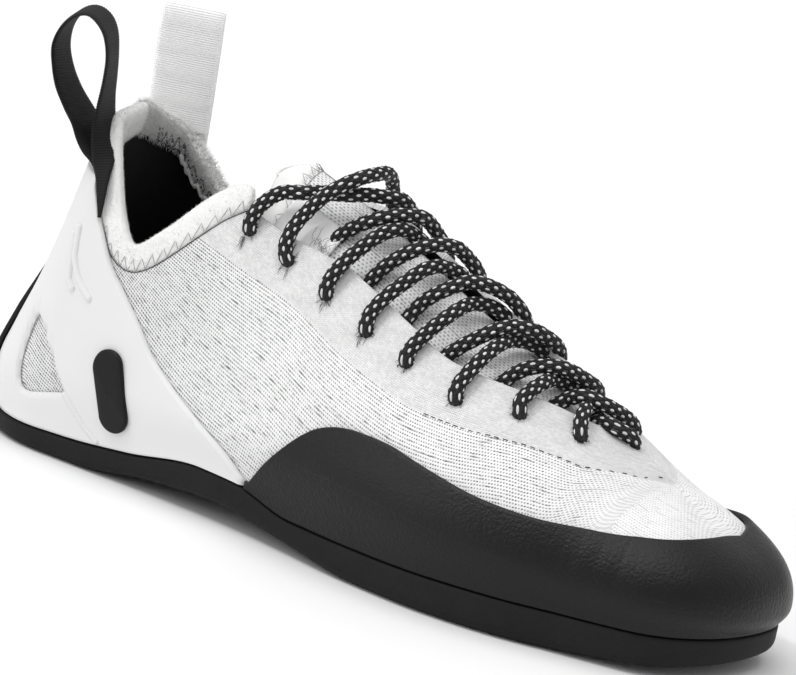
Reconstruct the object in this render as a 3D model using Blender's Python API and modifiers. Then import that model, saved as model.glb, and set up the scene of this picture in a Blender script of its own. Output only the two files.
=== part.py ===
"""Climbing shoe for the right foot: knit upper, rubber sole and rands, laced throat.

Metres. +X runs to the toe, +Y to the medial side, +Z up. The floor is z = 0 and the
origin is the middle of the heel's flat spot. Every piece that follows the foot is cut
from one last surface, `last_point`, by shares of the length, the ball width and the instep.
"""

import bmesh
import bpy
import numpy as np

# Driving sizes
LENGTH = 0.2535
BALL = 0.088
INSTEP = 0.100
MM = 0.001
REST_SHARE = 0.12
ORIGIN_X = REST_SHARE * LENGTH

# Wall and overlay thicknesses
WALL = 0.0020
GAP = 0.0005
TOE_GAP = 0.0009
SOLE_GAP = 0.0006
PAD_GAP = 0.0007
RAND = 0.0018
STRIP = 0.0010
RAND_OUT = GAP + RAND
STRIP_IN = RAND_OUT + 0.0007
STRIP_OUT = STRIP_IN + STRIP
PAD = 0.0008
BAND_OUT = 0.0010
BAND = 0.0040
TONGUE = 0.0030
INSOLE = 0.0025
WEBBING = 0.0012
LACE_RADIUS = 0.0021

# Sections of the last: shares of the length, of the ball width, of the instep height
SECTION_COLUMNS = ("share", "lateral", "medial", "ridge_y", "ridge_z", "wide_z", "side_power", "top_power")
SECTIONS = (
    (0.130, 0.340, 0.335, 0.000, 1.240, 0.27, 2.00, 2.00),
    (0.235, 0.352, 0.335, 0.030, 1.120, 0.28, 1.90, 1.80),
    (0.350, 0.385, 0.350, 0.065, 1.030, 0.28, 1.70, 1.55),
    (0.470, 0.430, 0.385, 0.075, 0.920, 0.27, 1.60, 1.45),
    (0.590, 0.490, 0.435, 0.075, 0.785, 0.26, 1.60, 1.45),
    (0.690, 0.510, 0.480, 0.080, 0.665, 0.24, 1.75, 1.55),
    (0.770, 0.480, 0.475, 0.090, 0.550, 0.22, 1.90, 1.70),
    (0.860, 0.395, 0.415, 0.105, 0.420, 0.20, 2.20, 1.90),
)
COLUMN_SCALE = {
    "lateral": BALL, "medial": BALL, "ridge_y": BALL, "ridge_z": INSTEP, "wide_z": INSTEP,
    "side_power": 1.0, "top_power": 1.0,
}
HEEL_AXIS = SECTIONS[0][0]
TOE_AXIS = SECTIONS[-1][0]
HEEL_POWER = 2.25
TOE_POWER = 2.15
TUCK = 0.0025
TOE_WIDE_Z = 0.0175
TOE_DROP = 0.55

# Share of the length, height in mm
FEATHER = ((0.0, 8.0), (0.08, 7.0), (0.16, 7.6), (0.25, 9.8), (0.36, 14.2), (0.41, 14.0),
           (0.50, 10.0), (0.62, 10.2), (0.74, 10.8), (0.88, 11.2), (1.0, 12.5))
UNDERSIDE = ((0.0, 1.5), (0.06, 0.0), (0.18, 0.0), (0.28, 3.6), (0.38, 5.4), (0.50, 2.4),
             (0.60, 0.0), (0.80, 0.0), (0.90, 1.6), (1.0, 4.4))
# Height in mm, how far the heel's back is set in from its rearmost point in mm
HEEL_BACK = ((0, 4.5), (10, 1.2), (18, 0.0), (34, 5.6), (48, 12.0), (62, 17.2), (76, 21.2),
             (90, 24.2), (106, 27.0))
# Share, height of the upper's edge at the collar and of the band's top edge, mm
COLLAR_BASE = {
    -1: ((0.130, 85.0), (0.150, 73.5), (0.170, 65.5), (0.190, 61.8), (0.205, 61.3), (0.220, 62.5),
         (0.250, 69.0), (0.280, 77.0), (0.310, 84.5), (0.345, 92.0), (0.400, 99.0)),
    1: ((0.130, 79.0), (0.150, 71.0), (0.170, 65.5), (0.190, 62.5), (0.205, 62.0), (0.220, 63.0),
        (0.250, 68.5), (0.280, 75.5), (0.310, 81.5), (0.345, 86.5), (0.400, 94.0)),
}
COLLAR_TOP = {
    -1: ((0.130, 100.0), (0.150, 91.5), (0.170, 81.5), (0.190, 73.0), (0.205, 69.0), (0.220, 69.5),
         (0.250, 77.0), (0.280, 87.0), (0.310, 94.5), (0.345, 98.0)),
    1: ((0.130, 91.5), (0.150, 84.0), (0.170, 77.5), (0.190, 72.0), (0.205, 69.5), (0.220, 70.0),
        (0.250, 75.5), (0.280, 83.0), (0.310, 89.5), (0.345, 94.0)),
}
COLLAR_BACK_BASE = 92.0
COLLAR_BACK_TOP = 102.5
BAND_END = {-1: 0.322, 1: 0.342}
# Share, distance of the throat's edge from the ridge in mm
THROAT_EDGE = {
    -1: ((0.30, 21.0), (0.37, 22.0), (0.46, 21.5), (0.55, 24.0), (0.62, 26.0), (0.66, 24.5),
         (0.72, 18.0), (0.77, 9.0), (0.80, 1.5), (0.806, 0.0)),
    1: ((0.30, 15.0), (0.36, 12.0), (0.40, 7.5), (0.46, 3.5), (0.55, 2.5), (0.70, 2.5),
        (0.77, 2.2), (0.80, 0.8), (0.806, 0.0)),
}
THROAT_END = 0.806
# Station along the side (1 heel axis, 2 toe axis, 3 toe tip), height of the toe rand's edge, mm
TOE_RAND_EDGE = ((1.41, 15.3), (1.44, 22.9), (1.47, 28.9), (1.50, 34.4), (1.52, 37.2), (1.545, 39.2),
                 (1.57, 40.2), (1.61, 40.5), (1.66, 39.9), (1.70, 38.5), (1.75, 36.8), (1.80, 35.1),
                 (1.85, 34.0), (1.90, 33.3), (1.97, 33.2), (2.15, 33.7), (2.37, 34.3), (2.65, 34.1),
                 (3.0, 33.3))
# Share of the length, height of the heel rand's front edge, mm
HEEL_RAND_EDGE = ((0.130, 82.0), (0.155, 70.0), (0.176, 62.0), (0.210, 53.5), (0.237, 47.0), (0.259, 41.3),
                  (0.303, 33.5), (0.347, 27.4), (0.395, 20.6), (0.421, 15.6))
STRIP_HALF = 0.375
STRIP_TOP = 60.0
STRIP_CROWN = 5.0
# Window of the heel rand as x from the heel's back and z in mm
WINDOW = ((23.6, 40.5), (31.0, 31.5), (37.6, 21.6), (30.0, 18.7), (22.5, 17.0), (20.0, 21.0), (20.4, 31.0))
PAD_CENTRE = (56.0, 26.5)
PAD_LEAN = (-0.32, 0.95)
PAD_LENGTH = 0.024
PAD_WIDTH = 0.0105
# Webbing loops: x from the heel's back, y, z, mm; then the direction of the webbing's width
LOOP_COLUMNS = ("x", "y", "z", "wide_x", "wide_y", "wide_z")
LOOP_WIDTH = 0.019
BLACK_LOOP = (
    (18.8, -14, 76.0, -0.13, 0.99, 0.0), (20.2, -14, 83.0, -0.13, 0.99, 0.0), (21.3, -14, 90.0, -0.13, 0.99, 0.0),
    (19.8, -14, 94.5, -0.16, 0.98, 0.0), (15.6, -14, 99.2, -0.20, 0.98, -0.04), (9.8, -14, 105.0, -0.26, 0.96, -0.06),
    (4.8, -14, 110.7, -0.32, 0.94, -0.06), (2.1, -14, 116.2, -0.36, 0.93, -0.04), (3.4, -14, 122.2, -0.42, 0.90, 0.0),
    (7.4, -14, 126.6, -0.45, 0.89, 0.03), (12.4, -14, 128.3, -0.43, 0.90, 0.04), (17.2, -14, 127.0, -0.39, 0.92, 0.03),
    (20.6, -14, 123.8, -0.40, 0.92, 0.0), (22.6, -14, 118.8, -0.42, 0.91, -0.04), (23.2, -14, 112.3, -0.38, 0.92, -0.06),
    (23.3, -14, 105.5, -0.28, 0.96, -0.04), (23.8, -14, 99.8, -0.18, 0.98, 0.0), (23.9, -14, 95.0, -0.13, 0.99, 0.0),
)
WHITE_LOOP = (
    (23.2, 25.2, 76.0, 0.87, 0.49, 0.0), (24.0, 23.9, 84.0, 0.87, 0.49, 0.0), (24.7, 22.6, 90.0, 0.87, 0.49, 0.0),
    (25.0, 22.1, 96.0, 0.87, 0.49, 0.0), (24.8, 22.0, 106.0, 0.87, 0.49, 0.0), (24.4, 21.9, 118.0, 0.87, 0.49, 0.0),
    (23.9, 21.9, 128.5, 0.87, 0.49, 0.0), (24.3, 20.9, 131.6, 0.87, 0.49, 0.0), (24.8, 19.8, 128.5, 0.87, 0.49, 0.0),
    (24.9, 20.0, 118.0, 0.87, 0.49, 0.0), (25.4, 20.3, 106.0, 0.87, 0.49, 0.0), (25.9, 20.4, 95.5, 0.87, 0.49, 0.0),
)

# Lace: x in mm from the heel's back and distance from the ridge in mm, lateral minus.
# A near pass runs from a lateral hole over the throat, a far pass from the lateral edge to a medial hole.
NEAR_PASSES = (((114.4, -27.2), (122.0, -0.5)), ((129.2, -30.3), (135.8, -0.5)), ((145.8, -33.0), (150.0, -0.5)),
               ((164.3, -33.6), (165.0, -0.5)), ((179.8, -27.8), (178.6, -0.5)), ((194.6, -19.0), (189.6, -1.5)))
FAR_PASSES = (((104.5, -16.5), (131.0, 6.5)), ((122.5, -14.0), (145.0, 6.5)), ((137.5, -15.5), (159.5, 6.5)),
              ((152.5, -17.0), (173.0, 6.5)), ((168.0, -16.0), (187.0, 6.5)), ((183.0, -11.5), (199.0, 6.5)))
LOW_PASS = ((197.8, -5.6, 2.6), (200.0, -3.0, 3.4), (202.6, 0.5, 3.7), (205.5, 4.5, 3.4))
TOP_PASS = ((86.5, -23.5, 2.9), (94.0, -15.0, 3.9), (104.0, -6.0, 3.7), (112.0, 1.0, 3.1), (118.3, 6.5, 2.9))
TOP_CURL = ((98.3, -25.3, 2.9), (104.0, -15.0, 5.5), (110.5, -4.0, 7.9), (115.0, 3.5, 8.4), (119.5, 9.0, 6.9),
            (121.5, 12.5, 4.4))

LATERAL, MEDIAL = -1, 1

# Stations shared by every piece that follows the last, so that their facets run in step
HEEL_STATIONS = np.linspace(0, 1, 9)[:-1]
STRAIGHT_SHARES = np.array([0.130, 0.150, 0.170, 0.190, 0.205, 0.225, 0.250, 0.280, 0.310, 0.335, 0.36, 0.39,
                            0.421, 0.455, 0.49, 0.54, 0.59, 0.63, 0.66, 0.69, 0.72, 0.745, 0.77, 0.787, 0.806,
                            0.833])
TOE_STATIONS = np.linspace(2, 3, 9)
LOW_LIFTS = np.array([0.0, 0.25, 0.5, 0.75, 1.0])
HIGH_LIFTS = np.array([0.15, 0.30, 0.45, 0.60, 0.74, 0.88, 1.0])
RAND_START = 0.03
TOE_RAND_START = 0.08


def hermite(share, table, column=1):
    """Smooth curve through a table's rows."""
    rows = np.asarray(table, float)
    xs, ys = rows[:, 0], rows[:, column]
    slopes = np.gradient(ys, xs)
    return spline(share, xs, ys, slopes)


def monotone(share, table):
    """Curve through a table's rows that stays level between equal rows."""
    rows = np.asarray(table, float)
    xs, ys = rows[:, 0], rows[:, 1]
    steps = np.diff(xs)
    rises = np.diff(ys) / steps
    slopes = np.zeros_like(ys)
    for i in range(1, len(xs) - 1):
        if rises[i - 1] * rises[i] > 0:
            before = 2 * steps[i] + steps[i - 1]
            after = steps[i] + 2 * steps[i - 1]
            slopes[i] = (before + after) / (before / rises[i - 1] + after / rises[i])
    slopes[0], slopes[-1] = rises[0], rises[-1]
    return spline(share, xs, ys, slopes)


def spline(share, xs, ys, slopes):
    """Cubic pieces between the rows, held level outside them."""
    share = np.asarray(share, float)
    span = np.diff(xs)
    k = np.clip(np.searchsorted(xs, share) - 1, 0, len(xs) - 2)
    u = np.clip((share - xs[k]) / span[k], 0, 1)
    start = (1 + 2 * u) * (1 - u) ** 2
    end = u * u * (3 - 2 * u)
    return (start * ys[k] + end * ys[k + 1]
            + u * (1 - u) ** 2 * span[k] * slopes[k]
            + u * u * (u - 1) * span[k] * slopes[k + 1])


def column(name, share):
    """One named column of the section table in metres, or as a bare power."""
    return hermite(share, SECTIONS, SECTION_COLUMNS.index(name)) * COLUMN_SCALE[name]


def share_at(station):
    """Share of the length on the straight stations 1 to 2."""
    return HEEL_AXIS + (TOE_AXIS - HEEL_AXIS) * np.clip(np.asarray(station, float) - 1, 0, 1)


def station_at(share):
    """Station of a share of the length between the heel and toe axes."""
    return 1 + (np.asarray(share, float) - HEEL_AXIS) / (TOE_AXIS - HEEL_AXIS)


def reach(side, share):
    """Half width on one side, from the ridge's line."""
    return np.where(side < 0, column("lateral", share) + column("ridge_y", share),
                    column("medial", share) - column("ridge_y", share))


def last_point(side, station, lift):
    """Point of the last: lift 0 at the feather edge, 1 at the widest line, 2 at the ridge."""
    station, lift = np.broadcast_arrays(np.asarray(station, float), np.asarray(lift, float))
    share = share_at(station)
    half = reach(side, share)
    wide_z, ridge_z = column("wide_z", share), column("ridge_z", share)
    side_power, top_power = column("side_power", share), column("top_power", share)
    toe = np.clip(station - 2, 0, 1) * np.pi / 2
    heel = np.clip(1 - station, 0, 1) * np.pi / 2
    toe_depth = LENGTH * (1 - TOE_AXIS)
    oval = (np.abs(np.sin(toe) / toe_depth) ** TOE_POWER + np.abs(np.cos(toe) / half) ** TOE_POWER) ** (-1 / TOE_POWER)
    outline = np.where(station > 2, oval, half)
    foot_share = (share + np.where(station > 2, outline * np.sin(toe) / LENGTH, 0)
                  - np.where(station < 1, HEEL_AXIS * np.sin(heel), 0))
    foot_z = monotone(foot_share, FEATHER) * MM
    toe_blend = 0.5 * (1 - np.cos(2 * toe))
    wide_z = np.where(station > 2, wide_z + (TOE_WIDE_Z - wide_z) * toe_blend, wide_z)
    low_z = foot_z + (wide_z - foot_z) * np.sin(np.clip(lift, 0, 1) * np.pi / 2)
    depth = np.clip((wide_z - low_z) / np.maximum(wide_z - foot_z, 1e-6), 0, 1)
    low_r = outline - TUCK * (3 * depth * depth - 2 * depth ** 3)
    angle = np.clip(lift - 1, 0, 1) * np.pi / 2
    spread = np.maximum(np.cos(angle), 0) ** (2 / side_power)
    high_z = wide_z + (ridge_z - wide_z) * np.sin(angle) ** (2 / top_power)
    high_z = high_z - np.where(station > 2, TOE_DROP * outline * np.sin(toe) * spread * (1 - spread), 0)
    radius = np.where(lift <= 1, low_r, outline * spread)
    z = np.where(lift <= 1, low_z, high_z)
    back = LENGTH * HEEL_AXIS - hermite(np.clip(z / MM, 0, 106), HEEL_BACK) * MM
    heel_r = (np.abs(np.sin(heel) / back) ** HEEL_POWER
              + np.abs(np.cos(heel) / np.maximum(radius, 1e-5)) ** HEEL_POWER) ** (-1 / HEEL_POWER)
    radius = np.where(station < 1, heel_r, radius)
    along = np.where(station < 1, -np.sin(heel), np.where(station > 2, np.sin(toe), 0.0))
    across = np.where(station < 1, np.cos(heel), np.where(station > 2, np.cos(toe), 1.0)) * side
    x = share * LENGTH + radius * along - ORIGIN_X
    y = column("ridge_y", share) + radius * across
    return np.stack([x, y, z], -1)


def last_normal(side, station, lift, step=1e-3):
    """Outward unit normal of the last."""
    station, lift = np.broadcast_arrays(np.asarray(station, float), np.asarray(lift, float))
    lift = np.minimum(lift, 1.985)
    along = (last_point(side, np.minimum(station + step, 3), lift)
             - last_point(side, np.maximum(station - step, 0), lift))
    up = (last_point(side, station, np.minimum(lift + step, 2))
          - last_point(side, station, np.maximum(lift - step, 0)))
    normal = np.cross(along, up) * (-side)
    return normal / np.maximum(np.linalg.norm(normal, axis=-1, keepdims=True), 1e-12)


def offset_point(side, station, lift, out):
    """Point of the last moved along its normal."""
    return last_point(side, station, lift) + last_normal(side, station, lift) * np.asarray(out)[..., None]


def lift_at_height(side, station, height):
    """Lift whose point stands at a height, found by halving."""
    station, height = np.broadcast_arrays(np.asarray(station, float), np.asarray(height, float))
    low, high = np.zeros_like(station), np.full_like(station, 2.0)
    for _ in range(32):
        mid = 0.5 * (low + high)
        above = last_point(side, station, mid)[..., 2] > height
        high = np.where(above, mid, high)
        low = np.where(above, low, mid)
    return 0.5 * (low + high)


def lift_at_gap(side, station, gap):
    """Lift of the point that lies a distance from the ridge on the straight stations."""
    share = share_at(station)
    ratio = np.clip(np.asarray(gap, float) / reach(side, share), 0, 1)
    return 1 + np.arccos(ratio ** (column("side_power", share) / 2)) * 2 / np.pi


def collar_height(side, station, table, back_height):
    """Height of a collar line, run on round the back of the heel, in metres."""
    station = np.asarray(station, float)
    front = hermite(share_at(station), table[side])
    middle = 0.5 * (table[-1][0][1] + table[1][0][1])
    turn = np.clip(1 - station, 0, 1)
    start = table[side][0][1]
    back = start + (back_height - start) * (0.5 - 0.5 * np.cos(turn * np.pi))
    return np.where(station < 1, back, front) * MM


def upper_edge_lift(side, station):
    """Lift of the upper's top edge: collar, then throat, then the closed ridge."""
    station = np.asarray(station, float)
    share = share_at(station)
    collar = lift_at_height(side, station, collar_height(side, station, COLLAR_BASE, COLLAR_BACK_BASE))
    throat = lift_at_gap(side, station, hermite(share, THROAT_EDGE[side]) * MM)
    lift = np.where(share < 0.30, collar, np.minimum(collar, throat))
    lift = np.where(share > 0.40, throat, lift)
    return np.where((share >= THROAT_END - 1e-6) | (station >= 2), 2.0, lift)


def material(name, colour, roughness):
    """Principled material of one piece."""
    made = bpy.data.materials.new(name)
    made.use_nodes = True
    shader = made.node_tree.nodes["Principled BSDF"]
    shader.inputs["Base Color"].default_value = (*colour, 1.0)
    shader.inputs["Roughness"].default_value = roughness
    return made


def add_mesh(name, vertices, faces, finish, closed=True):
    """One mesh object in the parts collection; a closed one is turned to face outward."""
    mesh = bpy.data.meshes.new(name)
    mesh.from_pydata([tuple(float(c) for c in v) for v in vertices], [], faces)
    mesh.validate()
    if closed:
        shell = bmesh.new()
        shell.from_mesh(mesh)
        bmesh.ops.recalc_face_normals(shell, faces=shell.faces[:])
        shell.to_mesh(mesh)
        shell.free()
    made = bpy.data.objects.new(name, mesh)
    bpy.data.collections["shoe_parts"].objects.link(made)
    made.data.materials.append(finish)
    return made


def solidify(target, thickness, outward):
    """Give an open sheet a real wall on one side."""
    wall = target.modifiers.new("wall", "SOLIDIFY")
    wall.thickness = thickness
    wall.offset = 1.0 if outward else -1.0
    wall.use_even_offset = True
    wall.use_rim = True


def strip_faces(columns, rows, flip=False):
    """Quads of a grid stored column by column."""
    faces = []
    for i in range(columns - 1):
        for k in range(rows - 1):
            loop = (i * rows + k, (i + 1) * rows + k, (i + 1) * rows + k + 1, i * rows + k + 1)
            faces.append(loop[::-1] if flip else loop)
    return faces


def shared_stations(first, last):
    """The shared stations between two ends, with the ends themselves."""
    every = np.concatenate([HEEL_STATIONS, station_at(STRAIGHT_SHARES), TOE_STATIONS])
    inside = every[(every > first + 0.012) & (every < last - 0.012)]
    return np.concatenate([[first], inside, [last]])


def heel_columns(front_lateral, front_medial):
    """Columns from the lateral front end round the heel to the medial front end."""
    lateral = shared_stations(0.0, front_lateral)[::-1]
    medial = shared_stations(0.0, front_medial)[1:]
    return [(LATERAL, s) for s in lateral] + [(MEDIAL, s) for s in medial]


def toe_columns(back):
    """Columns from the lateral back end round the toe to the medial back end."""
    forward = shared_stations(back, 3.0)
    return [(LATERAL, s) for s in forward] + [(MEDIAL, s) for s in forward[-2::-1]]


def row_lifts(low, high, tops):
    """Rows of a rand: in step with the upper's rows up to the widest line, then shares of the rest."""
    if high <= 1.0:
        return low + (high - low) * np.linspace(0, 1, len(LOW_LIFTS) + len(tops))
    lifts = np.concatenate([LOW_LIFTS, 1 + (high - 1) * np.asarray(tops)])
    lifts[0] = low
    return lifts


def sheet_on_last(columns, low_lift, high_lift, rows, out, tops=None):
    """Grid on the last between two lift curves, moved out by a distance."""
    vertices = []
    for side, station in columns:
        low, high = float(low_lift(side, station)), float(high_lift(side, station))
        lifts = low + (high - low) * np.linspace(0, 1, rows) if tops is None else row_lifts(low, high, tops)
        vertices.extend(offset_point(side, np.full(rows, station), lifts, np.full(rows, out)))
    starts_back = columns[0][0] == LATERAL and columns[1][1] < columns[0][1]
    return vertices, strip_faces(len(columns), rows, flip=starts_back)


def add_upper(finish):
    """Knit upper: one wall, open at collar, throat and underneath."""
    stations = np.concatenate([HEEL_STATIONS, station_at(STRAIGHT_SHARES), TOE_STATIONS])
    rows = len(LOW_LIFTS) + len(HIGH_LIFTS)
    vertices, index = [], {}

    def vertex(side, station, row, edge):
        lift = LOW_LIFTS[row] if row < 5 else 1 + (edge - 1) * HIGH_LIFTS[row - 5]
        if row == rows - 1 and edge >= 2.0:
            key = ("pole",) if station >= 2 else ("ridge", round(station, 5))
        elif station <= 0 or station >= 3:
            key = ("end", round(station, 5), row)
        else:
            key = (side, round(station, 5), row)
        if key not in index:
            index[key] = len(vertices)
            vertices.append(last_point(side, station, lift))
        return index[key]

    faces = []
    for side in (LATERAL, MEDIAL):
        edges = upper_edge_lift(side, stations)
        for i in range(len(stations) - 1):
            for row in range(rows - 1):
                loop = [vertex(side, stations[i], row, edges[i]),
                        vertex(side, stations[i + 1], row, edges[i + 1]),
                        vertex(side, stations[i + 1], row + 1, edges[i + 1]),
                        vertex(side, stations[i], row + 1, edges[i])]
                if side > 0:
                    loop.reverse()
                unique = []
                for v in loop:
                    if v not in unique:
                        unique.append(v)
                if len(unique) > 2:
                    faces.append(tuple(unique))
    made = add_mesh("upper", vertices, faces, finish, closed=False)
    solidify(made, WALL, outward=False)
    return made


def foot_ring(stations, out):
    """Outline of the feather edge moved out level by a distance for each station."""
    points = []
    for side, order in ((LATERAL, stations), (MEDIAL, stations[-2:0:-1])):
        for station in order:
            base = last_point(side, station, 0.0)
            normal = last_normal(side, station, 0.004)
            normal[2] = 0
            normal /= np.linalg.norm(normal)
            points.append(base + normal * out(float(station)))
    return np.array(points)


def ladder_faces(count, offset, flip):
    """Cap of a ring whose second half mirrors the first, as rungs across."""
    half = count // 2
    faces = []
    for i in range(half):
        a, b = i, i + 1
        c, d = (count - i - 1) % count, (count - i) % count
        loop = []
        for v in (a, b, c, d):
            if offset + v not in loop:
                loop.append(offset + v)
        faces.append(tuple(loop if flip else loop[::-1]))
    return faces


def add_slab(name, rings, finish):
    """Solid from stacked rings, first ring on top, capped across at both ends."""
    count = len(rings[0])
    vertices = np.concatenate(rings)
    faces = []
    for r in range(len(rings) - 1):
        for i in range(count):
            j = (i + 1) % count
            faces.append((r * count + i, (r + 1) * count + i, (r + 1) * count + j, r * count + j))
    faces += ladder_faces(count, 0, flip=True)
    faces += ladder_faces(count, (len(rings) - 1) * count, flip=False)
    return add_mesh(name, vertices, faces, finish)


def foot_stations():
    """Stations used for sole and insole outlines."""
    return np.concatenate([HEEL_STATIONS, station_at(STRAIGHT_SHARES), TOE_STATIONS])


def sole_out(station):
    """How far the sole's side stands out from the last's feather edge."""
    blend = np.clip((0.60 - station) / 0.26, 0, 1)
    return RAND_OUT + (STRIP_OUT - RAND_OUT) * blend * blend * (3 - 2 * blend)


def add_outsole(finish):
    """Outsole with its rounded lower edge, level at heel and ball."""
    stations = foot_stations()
    rings = []
    for inset, lift in ((0.0, None), (0.0, 3.4), (0.0009, 1.1), (0.0034, 0.0)):
        ring = foot_ring(stations, lambda s: sole_out(s) - inset)
        share = (ring[:, 0] + ORIGIN_X) / LENGTH
        floor = monotone(np.clip(share, 0, 1), UNDERSIDE) * MM
        if lift is None:
            ring[:, 2] -= SOLE_GAP
        else:
            ring[:, 2] = floor + lift * MM
        rings.append(ring)
    return add_slab("outsole", rings, finish)


def add_insole(finish):
    """Insole inside the upper's wall, on the sole."""
    stations = foot_stations()
    low = foot_ring(stations, lambda s: -(WALL + 0.0005))
    high = low.copy()
    high[:, 2] += INSOLE
    low[:, 2] += 0.0001
    return add_slab("insole", [high, low], finish)


def heel_rand_top(side, station):
    """Lift of the heel rand's top edge, kept under the collar band."""
    station = np.asarray(station, float)
    share = share_at(station)
    edge = hermite(share, HEEL_RAND_EDGE) * MM
    base = collar_height(side, station, COLLAR_BASE, COLLAR_BACK_BASE)
    step = 1e-3
    slope = ((collar_height(side, station + step, COLLAR_BASE, COLLAR_BACK_BASE) - base)
             / (step * (TOE_AXIS - HEEL_AXIS) * LENGTH))
    under = base - 0.0003 * np.sqrt(1 + slope * slope)
    height = np.where(station < 1, under, np.minimum(edge, under))
    return lift_at_height(side, station, height)


def add_heel_rand(finish, cutter_collection):
    """White heel rand with a window on each side."""
    columns = heel_columns(1.402, 1.402)
    rows = len(LOW_LIFTS) + len(HIGH_LIFTS)
    vertices, faces = sheet_on_last(columns, lambda side, s: RAND_START, heel_rand_top, rows, GAP, HIGH_LIFTS)
    made = add_mesh("heel_rand", vertices, faces, finish, closed=False)
    solidify(made, RAND, outward=True)
    for side in (LATERAL, MEDIAL):
        outline = [((x * MM) - ORIGIN_X, z * MM) for x, z in WINDOW]
        count = len(outline)
        prism = [(x, side * 0.018, z) for x, z in outline] + [(x, side * 0.042, z) for x, z in outline]
        quads = [(i, (i + 1) % count, count + (i + 1) % count, count + i) for i in range(count)]
        quads += [tuple(range(count))[::-1], tuple(range(count, 2 * count))]
        cutter = add_mesh("window_cutter_lateral" if side < 0 else "window_cutter_medial", prism, quads, finish)
        bpy.data.collections["shoe_parts"].objects.unlink(cutter)
        cutter_collection.objects.link(cutter)
        cutter.hide_render = True
        cutter.display_type = "WIRE"
        cut = made.modifiers.new("window", "BOOLEAN")
        cut.operation = "DIFFERENCE"
        cut.solver = "EXACT"
        cut.object = cutter
    return made


def add_toe_rand(finish):
    """Black toe rand, highest on the sides behind the ball."""
    columns = toe_columns(1.416)
    tops = (0.34, 0.67, 1.0)
    rows = len(LOW_LIFTS) + len(tops)
    top = lambda side, s: lift_at_height(side, s, hermite(s, TOE_RAND_EDGE) * MM)
    vertices, faces = sheet_on_last(columns, lambda side, s: TOE_RAND_START, top, rows, TOE_GAP, tops)
    made = add_mesh("toe_rand", vertices, faces, finish, closed=False)
    solidify(made, RAND, outward=True)
    return made


def add_heel_strip(finish):
    """Thin rubber strip up the back of the heel."""
    stations = np.linspace(-STRIP_HALF, STRIP_HALF, 7)
    columns = [(LATERAL if s < 0 else MEDIAL, abs(s)) for s in stations]
    top = lambda side, s: lift_at_height(side, s, (STRIP_TOP - STRIP_CROWN * (s / STRIP_HALF) ** 4) * MM)
    tops = (0.36, 0.68, 1.0)
    vertices, faces = sheet_on_last(columns, lambda side, s: 0.05, top, 8, STRIP_IN, tops)
    made = add_mesh("heel_strip", vertices, faces, finish, closed=False)
    solidify(made, STRIP, outward=True)
    return made


def add_side_pad(finish):
    """Plain stadium-shaped pad on the lateral side of the heel rand."""
    lean = np.array(PAD_LEAN) / np.linalg.norm(PAD_LEAN)
    cross = np.array([lean[1], -lean[0]])
    radius = PAD_WIDTH / 2
    straight = PAD_LENGTH / 2 - radius
    rim = []
    for i in range(16):
        angle = np.pi * (i + 0.5) / 8
        along = np.sin(angle) * radius + np.copysign(straight, np.sin(angle))
        rim.append(lean * along + cross * np.cos(angle) * radius)
    flat = [np.zeros(2)] + [p * 0.5 for p in rim] + rim
    vertices = []
    for p in flat:
        x, z = PAD_CENTRE[0] * MM + p[0], PAD_CENTRE[1] * MM + p[1]
        station = float(station_at(x / LENGTH))
        lift = float(lift_at_height(LATERAL, station, z))
        vertices.append(offset_point(LATERAL, station, lift, RAND_OUT + PAD_GAP))
    faces = [(0, 1 + i, 1 + (i + 1) % 16) for i in range(16)]
    faces += [(1 + i, 17 + i, 17 + (i + 1) % 16, 1 + (i + 1) % 16) for i in range(16)]
    made = add_mesh("side_pad", vertices, faces, finish, closed=False)
    solidify(made, PAD, outward=True)
    return made


def band_low(side, station):
    """Lift of the collar band's lower edge, clear of the upper and the rand."""
    station = np.asarray(station, float)
    base = collar_height(side, station, COLLAR_BASE, COLLAR_BACK_BASE)
    step = 1e-3
    slope = ((collar_height(side, station + step, COLLAR_BASE, COLLAR_BACK_BASE) - base)
             / (step * (TOE_AXIS - HEEL_AXIS) * LENGTH))
    return lift_at_height(side, station, base + 0.00045 * np.sqrt(1 + slope * slope))


def band_high(side, station):
    """Lift of the collar band's top edge."""
    return lift_at_height(side, station, collar_height(side, station, COLLAR_TOP, COLLAR_BACK_TOP))


def add_collar_band(finish):
    """Padded fleece band along the ankle opening."""
    columns = heel_columns(float(station_at(BAND_END[-1])), float(station_at(BAND_END[1])))
    vertices, faces = sheet_on_last(columns, band_low, band_high, 4, BAND_OUT)
    made = add_mesh("collar_band", vertices, faces, finish, closed=False)
    solidify(made, BAND, outward=False)
    return made


def tongue_depth(share):
    """How far the tongue's face lies under the last's surface."""
    return hermite(share, ((0.30, 3.9), (0.36, 4.2), (0.45, 4.8), (0.66, 4.8), (0.74, 3.6), (0.80, 2.9))) * MM


def tongue_width(side, share):
    """Reach of the tongue from the ridge, under the throat's edge."""
    edge = hermite(share, THROAT_EDGE[side]) * MM
    return np.minimum(edge + (0.007 if side < 0 else 0.009), 0.74 * reach(side, share))


def tongue_grid(shares, extra):
    """Tongue surface across the ridge at each share, lowered by an extra depth."""
    across = (-1.0, -0.8, -0.6, -0.4, -0.2, 0.0, 0.33, 0.66, 1.0)
    vertices = []
    for share in shares:
        station = float(station_at(share))
        for v in across:
            side = LATERAL if v <= 0 else MEDIAL
            gap = abs(v) * float(tongue_width(side, share))
            lift = float(lift_at_gap(side, station, gap))
            depth = float(tongue_depth(share)) + extra
            vertices.append(offset_point(side, station, lift, -depth))
    return vertices, strip_faces(len(shares), len(across))


def add_tongue(finish):
    """Tongue under the throat, from the vamp to above the laces."""
    shares = np.linspace(0.356, 0.795, 14)
    vertices, faces = tongue_grid(shares, 0.0)
    made = add_mesh("tongue", vertices, faces, finish, closed=False)
    solidify(made, TONGUE, outward=False)
    return made


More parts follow.
